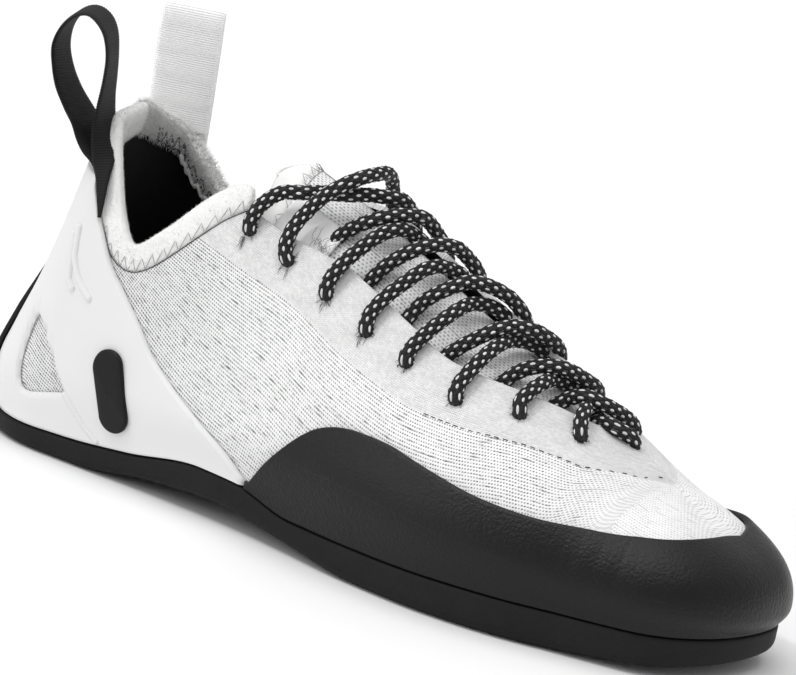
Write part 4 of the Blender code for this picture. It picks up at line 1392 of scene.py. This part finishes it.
@dataclass
class Scatter:
    """Geometry Nodes group that lays small fibres or stitches on a mesh.

    Attributes:
        name: Name of the finished piece.
        size: Radius and length of one fibre.
        sway: Largest random turn in radians.
        seed: Seed of the random draws.
        density: Fibres for each square metre, or 0 to lay one on each vertex by its `turn` attribute.
    """

    name: str
    size: tuple[float, float]
    sway: float
    seed: int
    density: float = 0.0

    def values(self) -> dict[str, float]:
        """The group's named inputs."""
        return {"Radius": self.size[0], "Length": self.size[1], "Sway": self.sway, "Seed": self.seed,
                "Density": self.density}

    def group(self, finish: Material) -> bpy.types.NodeTree:
        """Build the node group with its named inputs."""
        tree = bpy.data.node_groups.new(f"{self.name}_nodes", "GeometryNodeTree")
        new_socket = tree.interface.new_socket
        new_socket("Base", in_out="INPUT", socket_type="NodeSocketGeometry")
        for label in self.values():
            kind = "NodeSocketInt" if label == "Seed" else "NodeSocketFloat"
            new_socket(label, in_out="INPUT", socket_type=kind)
        new_socket("Fibres", in_out="OUTPUT", socket_type="NodeSocketGeometry")
        given = add_node(tree, "NodeGroupInput", {}).outputs
        radius, sway, seed = given["Radius"], given["Sway"], given["Seed"]
        if self.density:
            inputs = {"Mesh": given["Base"], "Density": given["Density"], "Seed": seed}
            spread = add_node(tree, "GeometryNodeDistributePointsOnFaces", inputs).outputs
            points, turn = spread["Points"], spread["Rotation"]
            form = {"Vertices": 3, "Side Segments": 1}
        else:
            named = add_node(tree, "GeometryNodeInputNamedAttribute", {"Name": "turn"}, data_type="FLOAT_VECTOR")
            points, turn = given["Base"], named.outputs["Attribute"]
            form = {"Vertices": 6, "Side Segments": 2, "Radius Top": radius}
        form |= {"Radius Bottom": radius, "Depth": given["Length"]}
        cone = add_node(tree, "GeometryNodeMeshCone", form)
        back = add_node(tree, "ShaderNodeMath", {0: sway, 1: -1.0}, operation="MULTIPLY")
        inputs = {0: back.outputs[0], 1: sway, "Seed": seed}
        luck = add_node(tree, "FunctionNodeRandomValue", inputs, data_type="FLOAT_VECTOR")
        turned = add_node(tree, "FunctionNodeRotateRotation", {0: turn, 1: luck.outputs[0]}, rotation_space="LOCAL")
        inputs = {"Points": points, "Instance": cone.outputs["Mesh"], "Rotation": turned.outputs[0]}
        laid = add_node(tree, "GeometryNodeInstanceOnPoints", inputs)
        real = add_node(tree, "GeometryNodeRealizeInstances", {0: laid.outputs[0]})
        painted = add_node(tree, "GeometryNodeSetMaterial", {0: real.outputs[0], "Material": finish})
        add_node(tree, "NodeGroupOutput", {0: painted.outputs[0]})
        return tree

    def lay(self, base: bpy.types.Mesh, finish: Material) -> Piece:
        """Lay the fibres on a mesh and keep them as a plain mesh object."""
        carrier = bpy.data.objects.new(self.name, base.copy())
        bpy.context.scene.collection.objects.link(carrier)
        tree = self.group(finish)
        use = carrier.modifiers.new("lay", "NODES")
        use.node_group = tree
        values = self.values()
        for item in tree.interface.items_tree:
            if item.in_out == "INPUT" and item.name in values:
                use[item.identifier] = values[item.name]
        bake(carrier)
        bpy.data.node_groups.remove(tree)
        return carrier


def zigzag(index: int) -> Array:
    """Six heights of one side of a tooth, falling and rising by turns."""
    return np.linspace(0, 1, 6) if index % 2 else np.linspace(1, 0, 6)


@dataclass
class Collar:
    """Fleece band round the ankle opening."""

    out: float = 0.0011
    into: float = 0.0031
    ring: int = 28
    power: float = 2 / 3.2
    taper: float = 8.0
    tip: float = 0.16
    lump: float = 0.00012

    def section(self) -> Array:
        """Closed section: share of the band's height and depth from its outer face."""
        t = np.linspace(0, 2 * np.pi, self.ring, endpoint=False)
        return np.stack([0.5 + 0.5 * signed_power(np.sin(t), self.power),
                         0.5 - 0.5 * signed_power(np.cos(t), self.power)], -1)

    def build(self, finishes: Finishes) -> None:
        """Make the band."""
        ends = [float(LAST.station(EDGES.band_end[s])) for s in (LATERAL, MEDIAL)]
        strip = Strip.round_heel(ends[0], ends[1], 130)
        low = strip.lift_at(strip.read(EDGES.collar_low) - EDGES.overlap)
        high = strip.lift_at(strip.read(EDGES.collar_high))
        to_end = (EDGES.band_end[LATERAL] - LAST.share(strip.stations)) * LAST.length / MM
        tapered = self.tip + (1 - self.tip) * rounded(np.maximum(to_end, 0), self.taper)
        high = low + (high - low) * np.where((strip.sides < 0) & (strip.stations > 1), tapered, 1.0)
        share, depth = self.section().T
        lumps = self.lump * np.random.default_rng(4).standard_normal((len(low), self.ring))
        points = LAST.offset(*strip.grid(low, high, share), self.out - (self.out + self.into) * depth + lumps)
        band = add_mesh("collar_fleece", points, tube_faces(*points.shape[:2]), finishes.fleece)
        settle(band, "fleece", "collar_band")
        self.build_fluff(points, finishes)
        self.build_seams(finishes)

    def build_fluff(self, points: Array, finishes: Finishes) -> None:
        """Loose fibres on the far side and the back of the band, shorter ones on the near side."""
        far, near = points[118:], points[:124]
        here, ahead, above = points[60, 0], points[61, 0], points[60, 1]
        outward = np.cross(ahead - here, above - here) @ (here - points[60].mean(axis=0))
        for name, part, size, density in (("fleece_fluff_far", far, (0.00013, 0.0021), 4.5e6),
                                          ("fleece_fluff_near", near, (0.00006, 0.0006), 3.0e6)):
            faces = tube_faces(*part.shape[:2], caps=False, flip=bool(outward < 0))
            patch = add_mesh(name + "_bed", part, faces, finishes.fleece)
            fluff = Scatter(name, size, 0.75, 5, density).lay(patch.data, finishes.fleece)
            bpy.data.objects.remove(patch, do_unlink=True)
            settle(fluff, "fleece")

    def tooth_line(self, side: int, stations: Array, low: float, high: float, over: tuple[float, float],
                   seed: int) -> list[Array]:
        """Zigzag thread over the lower seam of the band, one tooth side between each two stations."""
        rng = np.random.default_rng(seed)
        lines = []
        for i in range(len(stations) - 1):
            station = np.linspace(stations[i], stations[i + 1] + rng.uniform(-0.0008, 0.0008), 6)
            base = EDGES.collar_low(side, station) / MM
            climb = zigzag(i)
            height = base + low + (high - low) * climb * rng.uniform(0.85, 1.1)
            lift = LAST.lift_at_height(side, station, height * MM)
            out = (over[0] + (over[1] - over[0]) * climb) * MM
            lines.append(LAST.offset(np.full(6, side), station, lift, out))
        return lines

    def build_seams(self, finishes: Finishes) -> None:
        """Zigzag threads and the seam line under the band."""
        near = self.tooth_line(LATERAL, LAST.station(np.linspace(0.149, 0.314, 30)), -0.7, 3.0, (0.45, 1.45), 3)
        settle(add_threads("collar_zigzag", near, FINE_THREAD, finishes.thread_grey), "fleece")
        station = LAST.station(np.linspace(0.147, 0.318, 160))
        lift = LAST.lift_at_height(LATERAL, station, EDGES.collar_low(LATERAL, station) - 0.0007)
        seam = LAST.offset(np.full(160, LATERAL), station, lift, 0.00012)
        settle(add_threads("collar_seam", [seam], 0.00013, finishes.thread_dark), "fleece")
        turn = np.concatenate([np.linspace(0.48, 1.0, 14), LAST.station(np.linspace(0.139, 0.205, 11))])
        far = self.tooth_line(MEDIAL, turn, 0.2, 4.4, (-3.2, -3.5), 8)
        low = self.tooth_line(MEDIAL, turn, -0.4, 0.6, (-3.4, -3.4), 9)
        settle(add_threads("far_zigzag", far + low, 0.00034, finishes.thread_dark, 7), "fleece")
        patches = self.tooth_line(MEDIAL, turn[9:], -3.0, 0.4, (-2.9, -3.6), 10)
        settle(add_threads("far_tufts", patches, 0.00075, finishes.fleece, 8), "fleece")



@dataclass
class Tongue:
    """Tongue with its bound top edge and plain label."""

    thick: float = 0.0030
    tuck: tuple[float, float] = (0.007, 0.009)
    widest: float = 0.74
    span: tuple[float, float] = (0.350, 0.795)
    edge_share: float = 0.341
    edge_half: float = 0.0125
    edge_under: float = 0.0016
    edge_thick: float = 0.0023
    edge_power: float = 2 / 2.6

    def depth(self, share: Array) -> Array:
        """How far its face lies under the last's surface."""
        return hermite(share, ((0.30, 3.9), (0.36, 4.2), (0.45, 4.8), (0.66, 4.8), (0.74, 3.6), (0.80, 2.9))) * MM

    def width(self, side: Array, share: Array) -> Array:
        """Its reach from the ridge, under the throat's edge."""
        edge = EDGES.by_side(side, share, EDGES.throat) * MM
        return np.minimum(edge + np.where(side < 0, *self.tuck), self.widest * LAST.reach(side, share))

    def surface(self, share: Array, v: Array, extra: Array) -> Array:
        """Points across the tongue, v from -1 lateral to 1 medial, lowered by an extra depth."""
        share, v = np.broadcast_arrays(share, v)
        side = np.where(v <= 0, LATERAL, MEDIAL)
        station = LAST.station(share)
        lift = LAST.lift_at_gap(side, station, np.abs(v) * self.width(side, share))
        return LAST.offset(side, station, lift, -(self.depth(share) + extra))

    def build(self, finishes: Finishes) -> None:
        """Make tongue, binding and label."""
        share = np.linspace(*self.span, 150)[:, None]
        v = np.linspace(-1, 1, 61)[None, :]
        outer, inner = self.surface(share, v, 0.0), self.surface(share, v, self.thick)
        x = np.broadcast_to(share * LAST.length / MM, outer.shape[:2])
        chart = np.stack(np.broadcast_arrays(x, v * 24, 5.0), -1)
        piece = add_mesh("tongue_body", [outer, inner], shell_faces(*x.shape), finishes.tongue_knit,
                         {"knit": [chart, chart]})
        settle(piece, "tongue_knit", "tongue")
        t = np.linspace(0, 2 * np.pi, 24, endpoint=False)
        along = self.edge_share + self.edge_half * signed_power(np.cos(t), self.edge_power)
        depth = self.edge_under - self.edge_thick * signed_power(np.sin(t), self.edge_power)
        v = np.linspace(-1, 1, 71)[:, None]
        back = (self.edge_share + self.edge_half - along[None, :]) / (2 * self.edge_half)
        along = along[None, :] - 0.020 * back ** 2 * (1 - 0.55 * v ** 2)
        ring = self.surface(along, v, depth[None, :] + 0.0062 * back ** 2)
        edge = add_mesh("tongue_edge", ring, tube_faces(*ring.shape[:2], flip=True), finishes.fleece)
        settle(edge, "fleece", "tongue_binding")
        self.build_label(finishes)
        self.build_binding_threads(finishes)

    def build_label(self, finishes: Finishes) -> None:
        """Plain patch sewn on the tongue, with loose thread ends at its near edge."""
        x, gap = np.linspace(88.0, 106.5, 30)[:, None], np.linspace(-23.0, -14.2, 16)[None, :]
        x, gap = np.broadcast_arrays(x + (gap + 23) * 0.25, gap)
        layers = [LAST.at_gap(x, gap, over) for over in (-2.7, -3.5)]
        settle(add_mesh("tongue_label", layers, shell_faces(*x.shape), finishes.label), "fleece")
        rng = np.random.default_rng(21)
        lines = []
        for _ in range(16):
            count = 26
            start = np.array([rng.uniform(101.0, 106.5), rng.uniform(-22.4, -18.5), -2.3])
            heading = np.cumsum(rng.normal(0, 0.55, count)) + rng.uniform(0, 6.3)
            path = start + np.stack([np.cumsum(np.cos(heading)) * 0.16, np.cumsum(np.sin(heading)) * 0.16,
                                     0.5 * np.abs(np.sin(np.arange(count) * 0.25))], -1)
            lines.append(LAST.at_gap(path[:, 0], path[:, 1], path[:, 2]))
        settle(add_threads("label_threads", lines, HAIR, finishes.thread_grey), "fleece")

    def build_binding_threads(self, finishes: Finishes) -> None:
        """Zigzag over the lower edge of the bound top."""
        rng = np.random.default_rng(14)
        across = np.linspace(-0.95, 0.95, 30)
        lines = []
        for i in range(29):
            v = np.linspace(across[i], across[i + 1], 6)
            climb = zigzag(i)
            share = 0.3555 - 0.012 * climb * rng.uniform(0.8, 1.1)
            lines.append(self.surface(share, v, -0.0010 * climb - 0.00015))
        v = np.linspace(-1, 1, 90)
        lines.append(self.surface(np.full(90, 0.3550), v, np.full(90, -0.0002)))
        settle(add_threads("binding_zigzag", lines, FINE_THREAD, finishes.thread_grey), "fleece")


@dataclass
class PanelStitches:
    """Dark stitches along the front of the line between side knit and lace panel."""

    first: float = 158.0
    last: float = 216.0
    step: float = 2.3

    def build(self, finishes: Finishes) -> None:
        """Lay the stitches."""
        x = np.arange(self.first, self.last, self.step)
        rng = np.random.default_rng(11)
        station = LAST.station_x(x)
        here, ahead = (
            LAST.offset(LATERAL, station + on, np.minimum(hermite(x + on_mm, EDGES.panel_line), 1.98), 0.0001)
            for on, on_mm in ((0.0, 0.0), (0.01, 1.9)))
        headings = unit(ahead - here + rng.normal(0, 0.0001, here.shape))
        turns = [Vector(heading).to_track_quat("Z", "Y").to_euler() for heading in headings]
        bed = bpy.data.meshes.new("stitch_points")
        bed.from_pydata(here.tolist(), [], [])
        data = bed.attributes.new("turn", "FLOAT_VECTOR", "POINT")
        data.data.foreach_set("vector", np.array([tuple(t) for t in turns], dtype=np.float32).ravel())
        stitches = Scatter("panel_stitches", (0.00014, 0.0014), 0.12, 2).lay(bed, finishes.thread_dark)
        settle(stitches, "knit")


@dataclass
class Loop:
    """Webbing loop along table rows: x, y, z in mm from the heel's back, the width's direction, the width in mm."""

    name: str
    node: str
    slot: str
    rows: tuple
    thick: float = 0.0012
    rib: float = 0.80
    spacing: float = 0.13
    rib_height: float = 0.00009
    columns: int = 17

    def build(self, finish: Material) -> None:
        """Make the webbing with its ribs."""
        path = respace(smooth_rows(self.rows, 12), self.spacing)
        centres = path[:, :3] * MM - np.array([LAST.origin_x, 0, 0])
        wide = unit(path[:, 3:6])
        half_width = path[:, 6:7] * MM / 2
        tangent = unit(np.gradient(centres, axis=0))
        flat = unit(np.cross(tangent, wide))
        along = lengths_along(centres) / MM
        across = np.linspace(-1, 1, self.columns)
        rib = self.rib_height * np.cos(2 * np.pi * along / self.rib)
        half = self.thick / 2 * np.sqrt(np.clip(1 - np.abs(across) ** 8, 0.05, 1)) + rib[:, None]
        edge = half_width * across
        middle = centres[:, None] + wide[:, None] * edge[..., None]
        out = flat[:, None] * half[..., None]
        web = np.stack(np.broadcast_arrays(edge / MM, along[:, None], 0.0), -1)
        faces = shell_faces(len(centres), self.columns, flip=True)
        piece = add_mesh(self.name, [middle + out, middle - out], faces, finish, {"web": [web, web]})
        settle(piece, self.slot, self.node)


BLACK_LOOP = (
    (38.2, -28.5, 73.4, 0.97, 0.05, 0.24, 0.6), (37.5, -28.1, 76.6, 0.97, 0.05, 0.24, 1.8),
    (36.6, -27.5, 80.2, 0.97, 0.05, 0.24, 3.2), (35.4, -26.5, 84.6, 0.95, 0.10, 0.24, 4.8),
    (33.6, -25.4, 88.6, 0.80, 0.45, 0.20, 7.0), (30.0, -24.2, 92.6, 0.30, 0.90, 0.10, 12.5),
    (24.8, -22.8, 97.2, -0.10, 0.98, 0.0, 18.0), (19.8, -22.5, 101.6, -0.18, 0.98, -0.03, 19.0),
    (14.8, -22.5, 106.8, -0.24, 0.96, -0.05, 19.0), (11.4, -22.5, 112.6, -0.31, 0.94, -0.06, 19.0),
    (9.7, -22.5, 118.3, -0.36, 0.93, -0.04, 19.0), (10.9, -22.5, 124.1, -0.42, 0.90, 0.0, 19.0),
    (14.5, -22.5, 128.5, -0.45, 0.89, 0.03, 19.0), (19.0, -22.5, 130.1, -0.43, 0.90, 0.04, 19.0),
    (23.4, -22.5, 128.6, -0.40, 0.92, 0.03, 19.0), (26.6, -22.5, 125.0, -0.42, 0.91, 0.0, 19.0),
    (28.4, -22.5, 119.2, -0.44, 0.90, -0.04, 19.0), (29.0, -22.5, 112.8, -0.42, 0.91, -0.05, 19.0),
    (29.2, -22.6, 106.6, -0.36, 0.93, -0.03, 18.0), (29.9, -23.0, 101.2, -0.20, 0.96, 0.0, 14.5),
    (31.2, -24.0, 96.2, 0.15, 0.97, 0.06, 9.5), (33.2, -25.4, 90.8, 0.60, 0.75, 0.18, 6.6),
    (35.2, -26.7, 86.0, 0.92, 0.20, 0.24, 4.8), (36.8, -27.7, 80.8, 0.97, 0.05, 0.24, 3.2),
    (37.7, -28.3, 76.8, 0.97, 0.05, 0.24, 1.8), (38.3, -28.8, 73.4, 0.97, 0.05, 0.24, 0.6),
)
WHITE_LOOP = tuple((*centre, 0.87, 0.49, 0.0, 19.0) for centre in (
    (24.9, 22.2, 75.0), (24.4, 23.2, 84.0), (24.7, 22.6, 90.0), (25.0, 22.1, 96.0), (24.8, 22.0, 106.0),
    (24.4, 21.9, 118.0), (23.9, 21.9, 129.0), (24.3, 20.9, 132.3), (24.8, 19.8, 129.0), (24.9, 20.0, 118.0),
    (25.4, 20.3, 106.0), (25.9, 20.4, 95.5),
))


# Passes of the lace: x in mm from the heel's back, distance from the ridge, height over the last
LACE_PASSES = {
    "lace_top_pass": (
        (83.9, -23.6, -2.4), (83.5, -24.0, 0.9), (83.4, -22.2, 2.4), (85.0, -19.6, 3.0), (88.0, -16.9, 3.1),
        (92.6, -15.0, 3.0), (96.8, -12.5, 2.5), (103.5, -9.3, 2.9), (108.3, -5.5, 3.1), (112.3, -2.0, 3.2),
        (114.8, 2.5, 3.2), (115.8, 7.5, 2.8), (116.5, 11.5, 0.4),
    ),
    "lace_curl_pass": (
        (98.4, -25.0, -2.4), (98.1, -25.5, 0.9), (96.5, -24.0, 2.4), (96.2, -21.0, 3.0), (97.5, -17.1, 3.4),
        (99.7, -13.3, 5.2), (102.6, -10.0, 7.3), (105.0, -6.0, 7.7), (106.2, -1.0, 6.6), (105.4, 3.5, 6.6),
        (104.6, 8.0, 6.0), (106.0, 12.0, 3.4), (108.0, 14.5, 0.2),
    ),
    "lace_over_1": (
        (105.6, -18.5, -5.0), (106.8, -16.0, -3.4), (110.2, -12.6, -0.8), (114.7, -9.3, 2.6), (118.1, -5.5, 3.4),
        (121.0, -1.0, 3.2), (124.0, 4.0, 3.2), (127.6, 8.0, 2.4), (129.6, 11.0, -0.4),
    ),
    "lace_near_3": (
        (114.2, -26.6, -2.4), (113.7, -27.3, 0.9), (113.5, -25.2, 2.3), (114.7, -21.6, 2.8), (116.6, -17.0, 2.7),
        (118.1, -12.9, 2.5), (120.0, -9.0, 2.2), (121.6, -5.0, 0.4), (123.6, -1.0, -1.9), (126.5, 4.0, -2.2),
    ),
    "lace_over_2": (
        (120.9, -21.6, -5.0), (122.0, -19.2, -3.4), (124.1, -15.7, -1.0), (127.1, -11.7, 1.6), (130.0, -8.0, 3.7),
        (132.9, -3.3, 4.0), (136.0, 1.6, 3.2), (139.8, 6.0, 2.6), (142.2, 10.0, -0.2),
    ),
    "lace_near_4": (
        (130.4, -29.0, -2.4), (130.0, -29.7, 0.9), (129.4, -27.2, 2.3), (130.7, -23.1, 2.8), (132.7, -17.9, 2.7),
        (134.3, -12.5, 2.6), (136.1, -7.6, 1.4), (138.0, -3.0, -0.8), (141.4, 2.5, -2.0),
    ),
    "lace_over_3": (
        (136.0, -24.6, -5.0), (137.2, -21.8, -3.4), (139.0, -17.3, -1.0), (141.5, -14.1, 1.6), (143.8, -10.8, 3.2),
        (145.9, -7.3, 4.2), (150.1, -3.6, 4.4), (155.0, 1.0, 3.0), (158.8, 5.0, 1.2), (160.0, 8.5, -1.6),
    ),
    "lace_near_5": (
        (146.0, -30.5, -2.4), (145.4, -31.4, 0.9), (145.3, -29.6, 2.2), (146.7, -24.5, 2.7), (147.9, -20.0, 2.7),
        (148.8, -14.6, 1.9), (149.6, -9.0, 0.2), (152.5, -3.5, -0.8), (157.4, 3.0, -2.4),
    ),
    "lace_over_4": (
        (151.4, -27.6, -5.0), (152.8, -24.3, -3.4), (155.6, -20.4, -1.0), (158.6, -16.6, 1.6), (160.9, -13.3, 3.5),
        (163.3, -9.3, 4.2), (166.9, -5.4, 4.4), (170.1, -0.6, 2.8), (172.0, 4.0, 0.9), (173.0, 7.5, -1.8),
    ),
    "lace_near_6": (
        (164.4, -32.6, -2.4), (163.8, -33.5, 0.9), (163.0, -31.3, 2.3), (163.3, -26.9, 2.8), (163.6, -21.2, 2.7),
        (163.8, -15.4, 1.7), (164.2, -9.0, -0.4), (166.9, -3.0, -1.2), (170.8, 3.5, -2.6),
    ),
    "lace_over_5": (
        (169.0, -22.6, -5.0), (170.3, -19.6, -3.4), (172.0, -15.5, -1.0), (174.6, -12.5, 1.6), (177.7, -9.3, 3.4),
        (180.7, -5.3, 3.2), (184.0, -0.8, 2.2), (185.8, 4.0, 0.8), (186.8, 7.5, -1.8),
    ),
    "lace_near_7": (
        (180.6, -26.4, -2.4), (180.1, -27.2, 0.9), (178.8, -25.3, 2.3), (178.8, -21.0, 2.7), (179.0, -16.1, 2.0),
        (179.0, -10.0, -0.2), (181.0, -4.5, -1.4), (184.4, 2.5, -2.6),
    ),
    "lace_over_6": (
        (183.2, -13.6, -5.0), (184.2, -11.3, -3.4), (185.5, -8.6, -0.6), (188.0, -7.8, 2.6), (191.6, -5.3, 3.3),
        (195.0, -0.6, 2.6), (198.0, 4.5, 1.2), (199.4, 8.5, -1.8),
    ),
    "lace_near_8": (
        (195.3, -18.2, -2.4), (195.0, -18.9, 0.9), (192.8, -16.8, 2.2), (190.9, -12.1, 2.2), (190.0, -7.0, 0.0),
        (192.0, -2.0, -1.6),
    ),
    "lace_low_pass": (
        (193.0, -7.0, -3.0), (194.6, -6.4, -0.4), (198.6, -6.6, 1.9), (202.2, -3.4, 1.5), (204.2, -1.0, -1.6),
    ),
}


@dataclass
class Lacing:
    """Round braided lace through the eyelets."""

    radius: float = 0.00208
    step: float = 0.00034
    sides: int = 40
    around: float = Braid.around
    pitch: float = Braid.pitch
    sunk: float = 0.00014
    relief: float = 0.00026

    def sweep(self, name: str, centres: Array, finish: Material) -> Piece:
        """Braided cord along a line, with rounded ends."""
        centres = respace(centres, self.step)
        tangent = unit(np.gradient(centres, axis=0))
        across = np.cross(tangent[0], (0, 0, 1.0))
        frames = []
        for forward in tangent:
            across = unit(across - forward * across.dot(forward))
            frames.append(across)
        side = np.array(frames)
        up = np.cross(tangent, side)
        along = np.arange(len(centres)) * self.step / MM
        turns = np.arange(self.sides) / self.sides
        u, v = turns[None, :] * self.around, along[:, None] / self.pitch
        a, b = u + v, u - v
        braid = np.abs(np.sin(2 * np.pi * a) * np.sin(2 * np.pi * b))
        cap = np.minimum(along, along[::-1]) * MM
        close = np.sqrt(np.clip(1 - (1 - np.clip(cap / self.radius, 0, 1)) ** 2, 0.002, 1))
        radius = (self.radius - self.sunk + self.relief * braid) * close[:, None]
        points = centres[:, None] + ring_points(side, up, 2 * np.pi * turns) * radius[..., None]
        cord = np.stack(np.broadcast_arrays(turns[None, :], along[:, None], 0.0), -1)
        return add_mesh(name, points, cord_faces(len(centres), self.sides), finish, {"cord": cord})

    def build(self, finishes: Finishes) -> None:
        """Make all passes."""
        stand_for = {
            "lace_low_pass": ("lace_low",), "lace_top_pass": ("lace_top",), "lace_curl_pass": ("lace_curl",),
            **{f"lace_near_{i + 3}": (f"lace_cross_{i + 1}",) for i in range(6)},
        }
        for name, stops in LACE_PASSES.items():
            dense = smooth_rows(stops, 16)
            piece = self.sweep(name, LAST.at_gap(*dense.T), finishes.braid)
            settle(piece, "lace_cord", *stand_for.get(name, ()))
        self.build_frays(finishes)

    def build_frays(self, finishes: Finishes) -> None:
        """Short loose yarn ends round the near holes."""
        rng = np.random.default_rng(31)
        hairs = []
        for name, stops in LACE_PASSES.items():
            if "over" in name or "low" in name:
                continue
            x, gap = stops[1][0], stops[1][1]
            for _ in range(16):
                angle, size = rng.uniform(0, 2 * np.pi), rng.uniform(0.9, 1.9)
                reach = np.linspace(1.3, 1.3 + size, 5)
                bend = angle + rng.uniform(-0.5, 0.5) * np.linspace(0, 1, 5)
                hairs.append(LAST.at_gap(x + np.cos(bend) * reach, gap + np.sin(bend) * reach,
                                         0.15 + 0.35 * np.sin(np.linspace(0, 2.6, 5)) * rng.uniform(0.2, 1.0)))
        settle(add_threads("lace_hole_frays", hairs, HAIR, finishes.thread_dark, 4), "knit")


@dataclass
class Studio:
    """Camera at the photograph's angle, pale floor and soft light."""

    azimuth: float = 29.633
    elevation: float = 12.131
    roll: float = 11.261
    distance: float = 0.966134
    focal_px: float = 3195.206
    width_px: int = 796
    sensor_mm: float = 36.0
    target: tuple = (0.068428, 0.049725, 0.047664)
    sky: float = 0.54
    # name, direction towards the light, its width in degrees, strength
    lights: tuple = (("key", (-0.55, -0.75, 0.45), 35.0, 0.55), ("top", (0.0, -0.12, 1.0), 60.0, 1.25),
                     ("glint", (-0.32, -0.38, 0.86), 7.0, 0.50))

    def build_camera(self) -> None:
        """Make the camera."""
        a, e, r = np.radians([self.azimuth, self.elevation, self.roll])
        back = np.array([np.sin(a) * np.cos(e), -np.cos(a) * np.cos(e), np.sin(e)])
        right = np.array([np.cos(a), np.sin(a), 0.0])
        up = np.cross(back, right)
        across = right * np.cos(r) + up * np.sin(r)
        upward = -right * np.sin(r) + up * np.cos(r)
        place = np.array(self.target) + back * self.distance
        data = bpy.data.cameras.new("camera")
        data.sensor_width = self.sensor_mm
        data.lens = self.focal_px * self.sensor_mm / self.width_px
        data.clip_start, data.clip_end = 0.05, 20.0
        camera = bpy.data.objects.new("camera", data)
        camera.matrix_world = Matrix([*np.stack([across, upward, back, place], -1).tolist(), [0, 0, 0, 1]])
        bpy.context.scene.collection.objects.link(camera)
        bpy.context.scene.camera = camera

    def add_light(self, name: str, toward: tuple, softness: float, strength: float) -> None:
        """One wide soft light from a direction."""
        data = bpy.data.lights.new(name, "SUN")
        data.angle = np.radians(softness)
        data.energy = strength
        made = bpy.data.objects.new(name, data)
        made.location = toward
        made.rotation_euler = (-Vector(toward)).to_track_quat("-Z", "Y").to_euler()
        bpy.context.scene.collection.objects.link(made)

    def build(self) -> None:
        """Make camera, floor and lights."""
        self.build_camera()
        g = Graph("floor_paper")
        g.set(Base_Color=(0.93, 0.93, 0.93), Roughness=0.9, Specular_IOR_Level=0.1)
        corners = [(-6, -6, -0.0002), (6, -6, -0.0002), (6, 6, -0.0002), (-6, 6, -0.0002)]
        floor = add_mesh("floor", corners, [[0, 1, 2, 3]], g.material)
        world = bpy.data.worlds.new("studio")
        world.use_nodes = True
        colour, strength = world.node_tree.nodes["Background"].inputs[:2]
        colour.default_value, strength.default_value = (1.0, 1.0, 1.0, 1.0), self.sky
        bpy.context.scene.world = world
        bpy.context.scene.view_settings.view_transform = "Standard"
        for light in self.lights:
            self.add_light(*light)


def main() -> None:
    """Build the whole scene."""
    logging.basicConfig(level=logging.INFO)
    finishes = Finishes.make()
    Upper().build(finishes)
    Rubbers().build(finishes)
    Collar().build(finishes)
    Tongue().build(finishes)
    Loop("pull_loop_black", "loop_black", "black_webbing", BLACK_LOOP).build(finishes.webbing_black)
    Loop("pull_loop_white", "loop_white", "white_webbing", WHITE_LOOP, rib=0.66).build(finishes.webbing_white)
    Lacing().build(finishes)
    PanelStitches().build(finishes)
    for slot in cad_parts["insole"].material_slots:
        slot.material = finishes.board
    Studio().build()


if __name__ == "__main__":
    main()
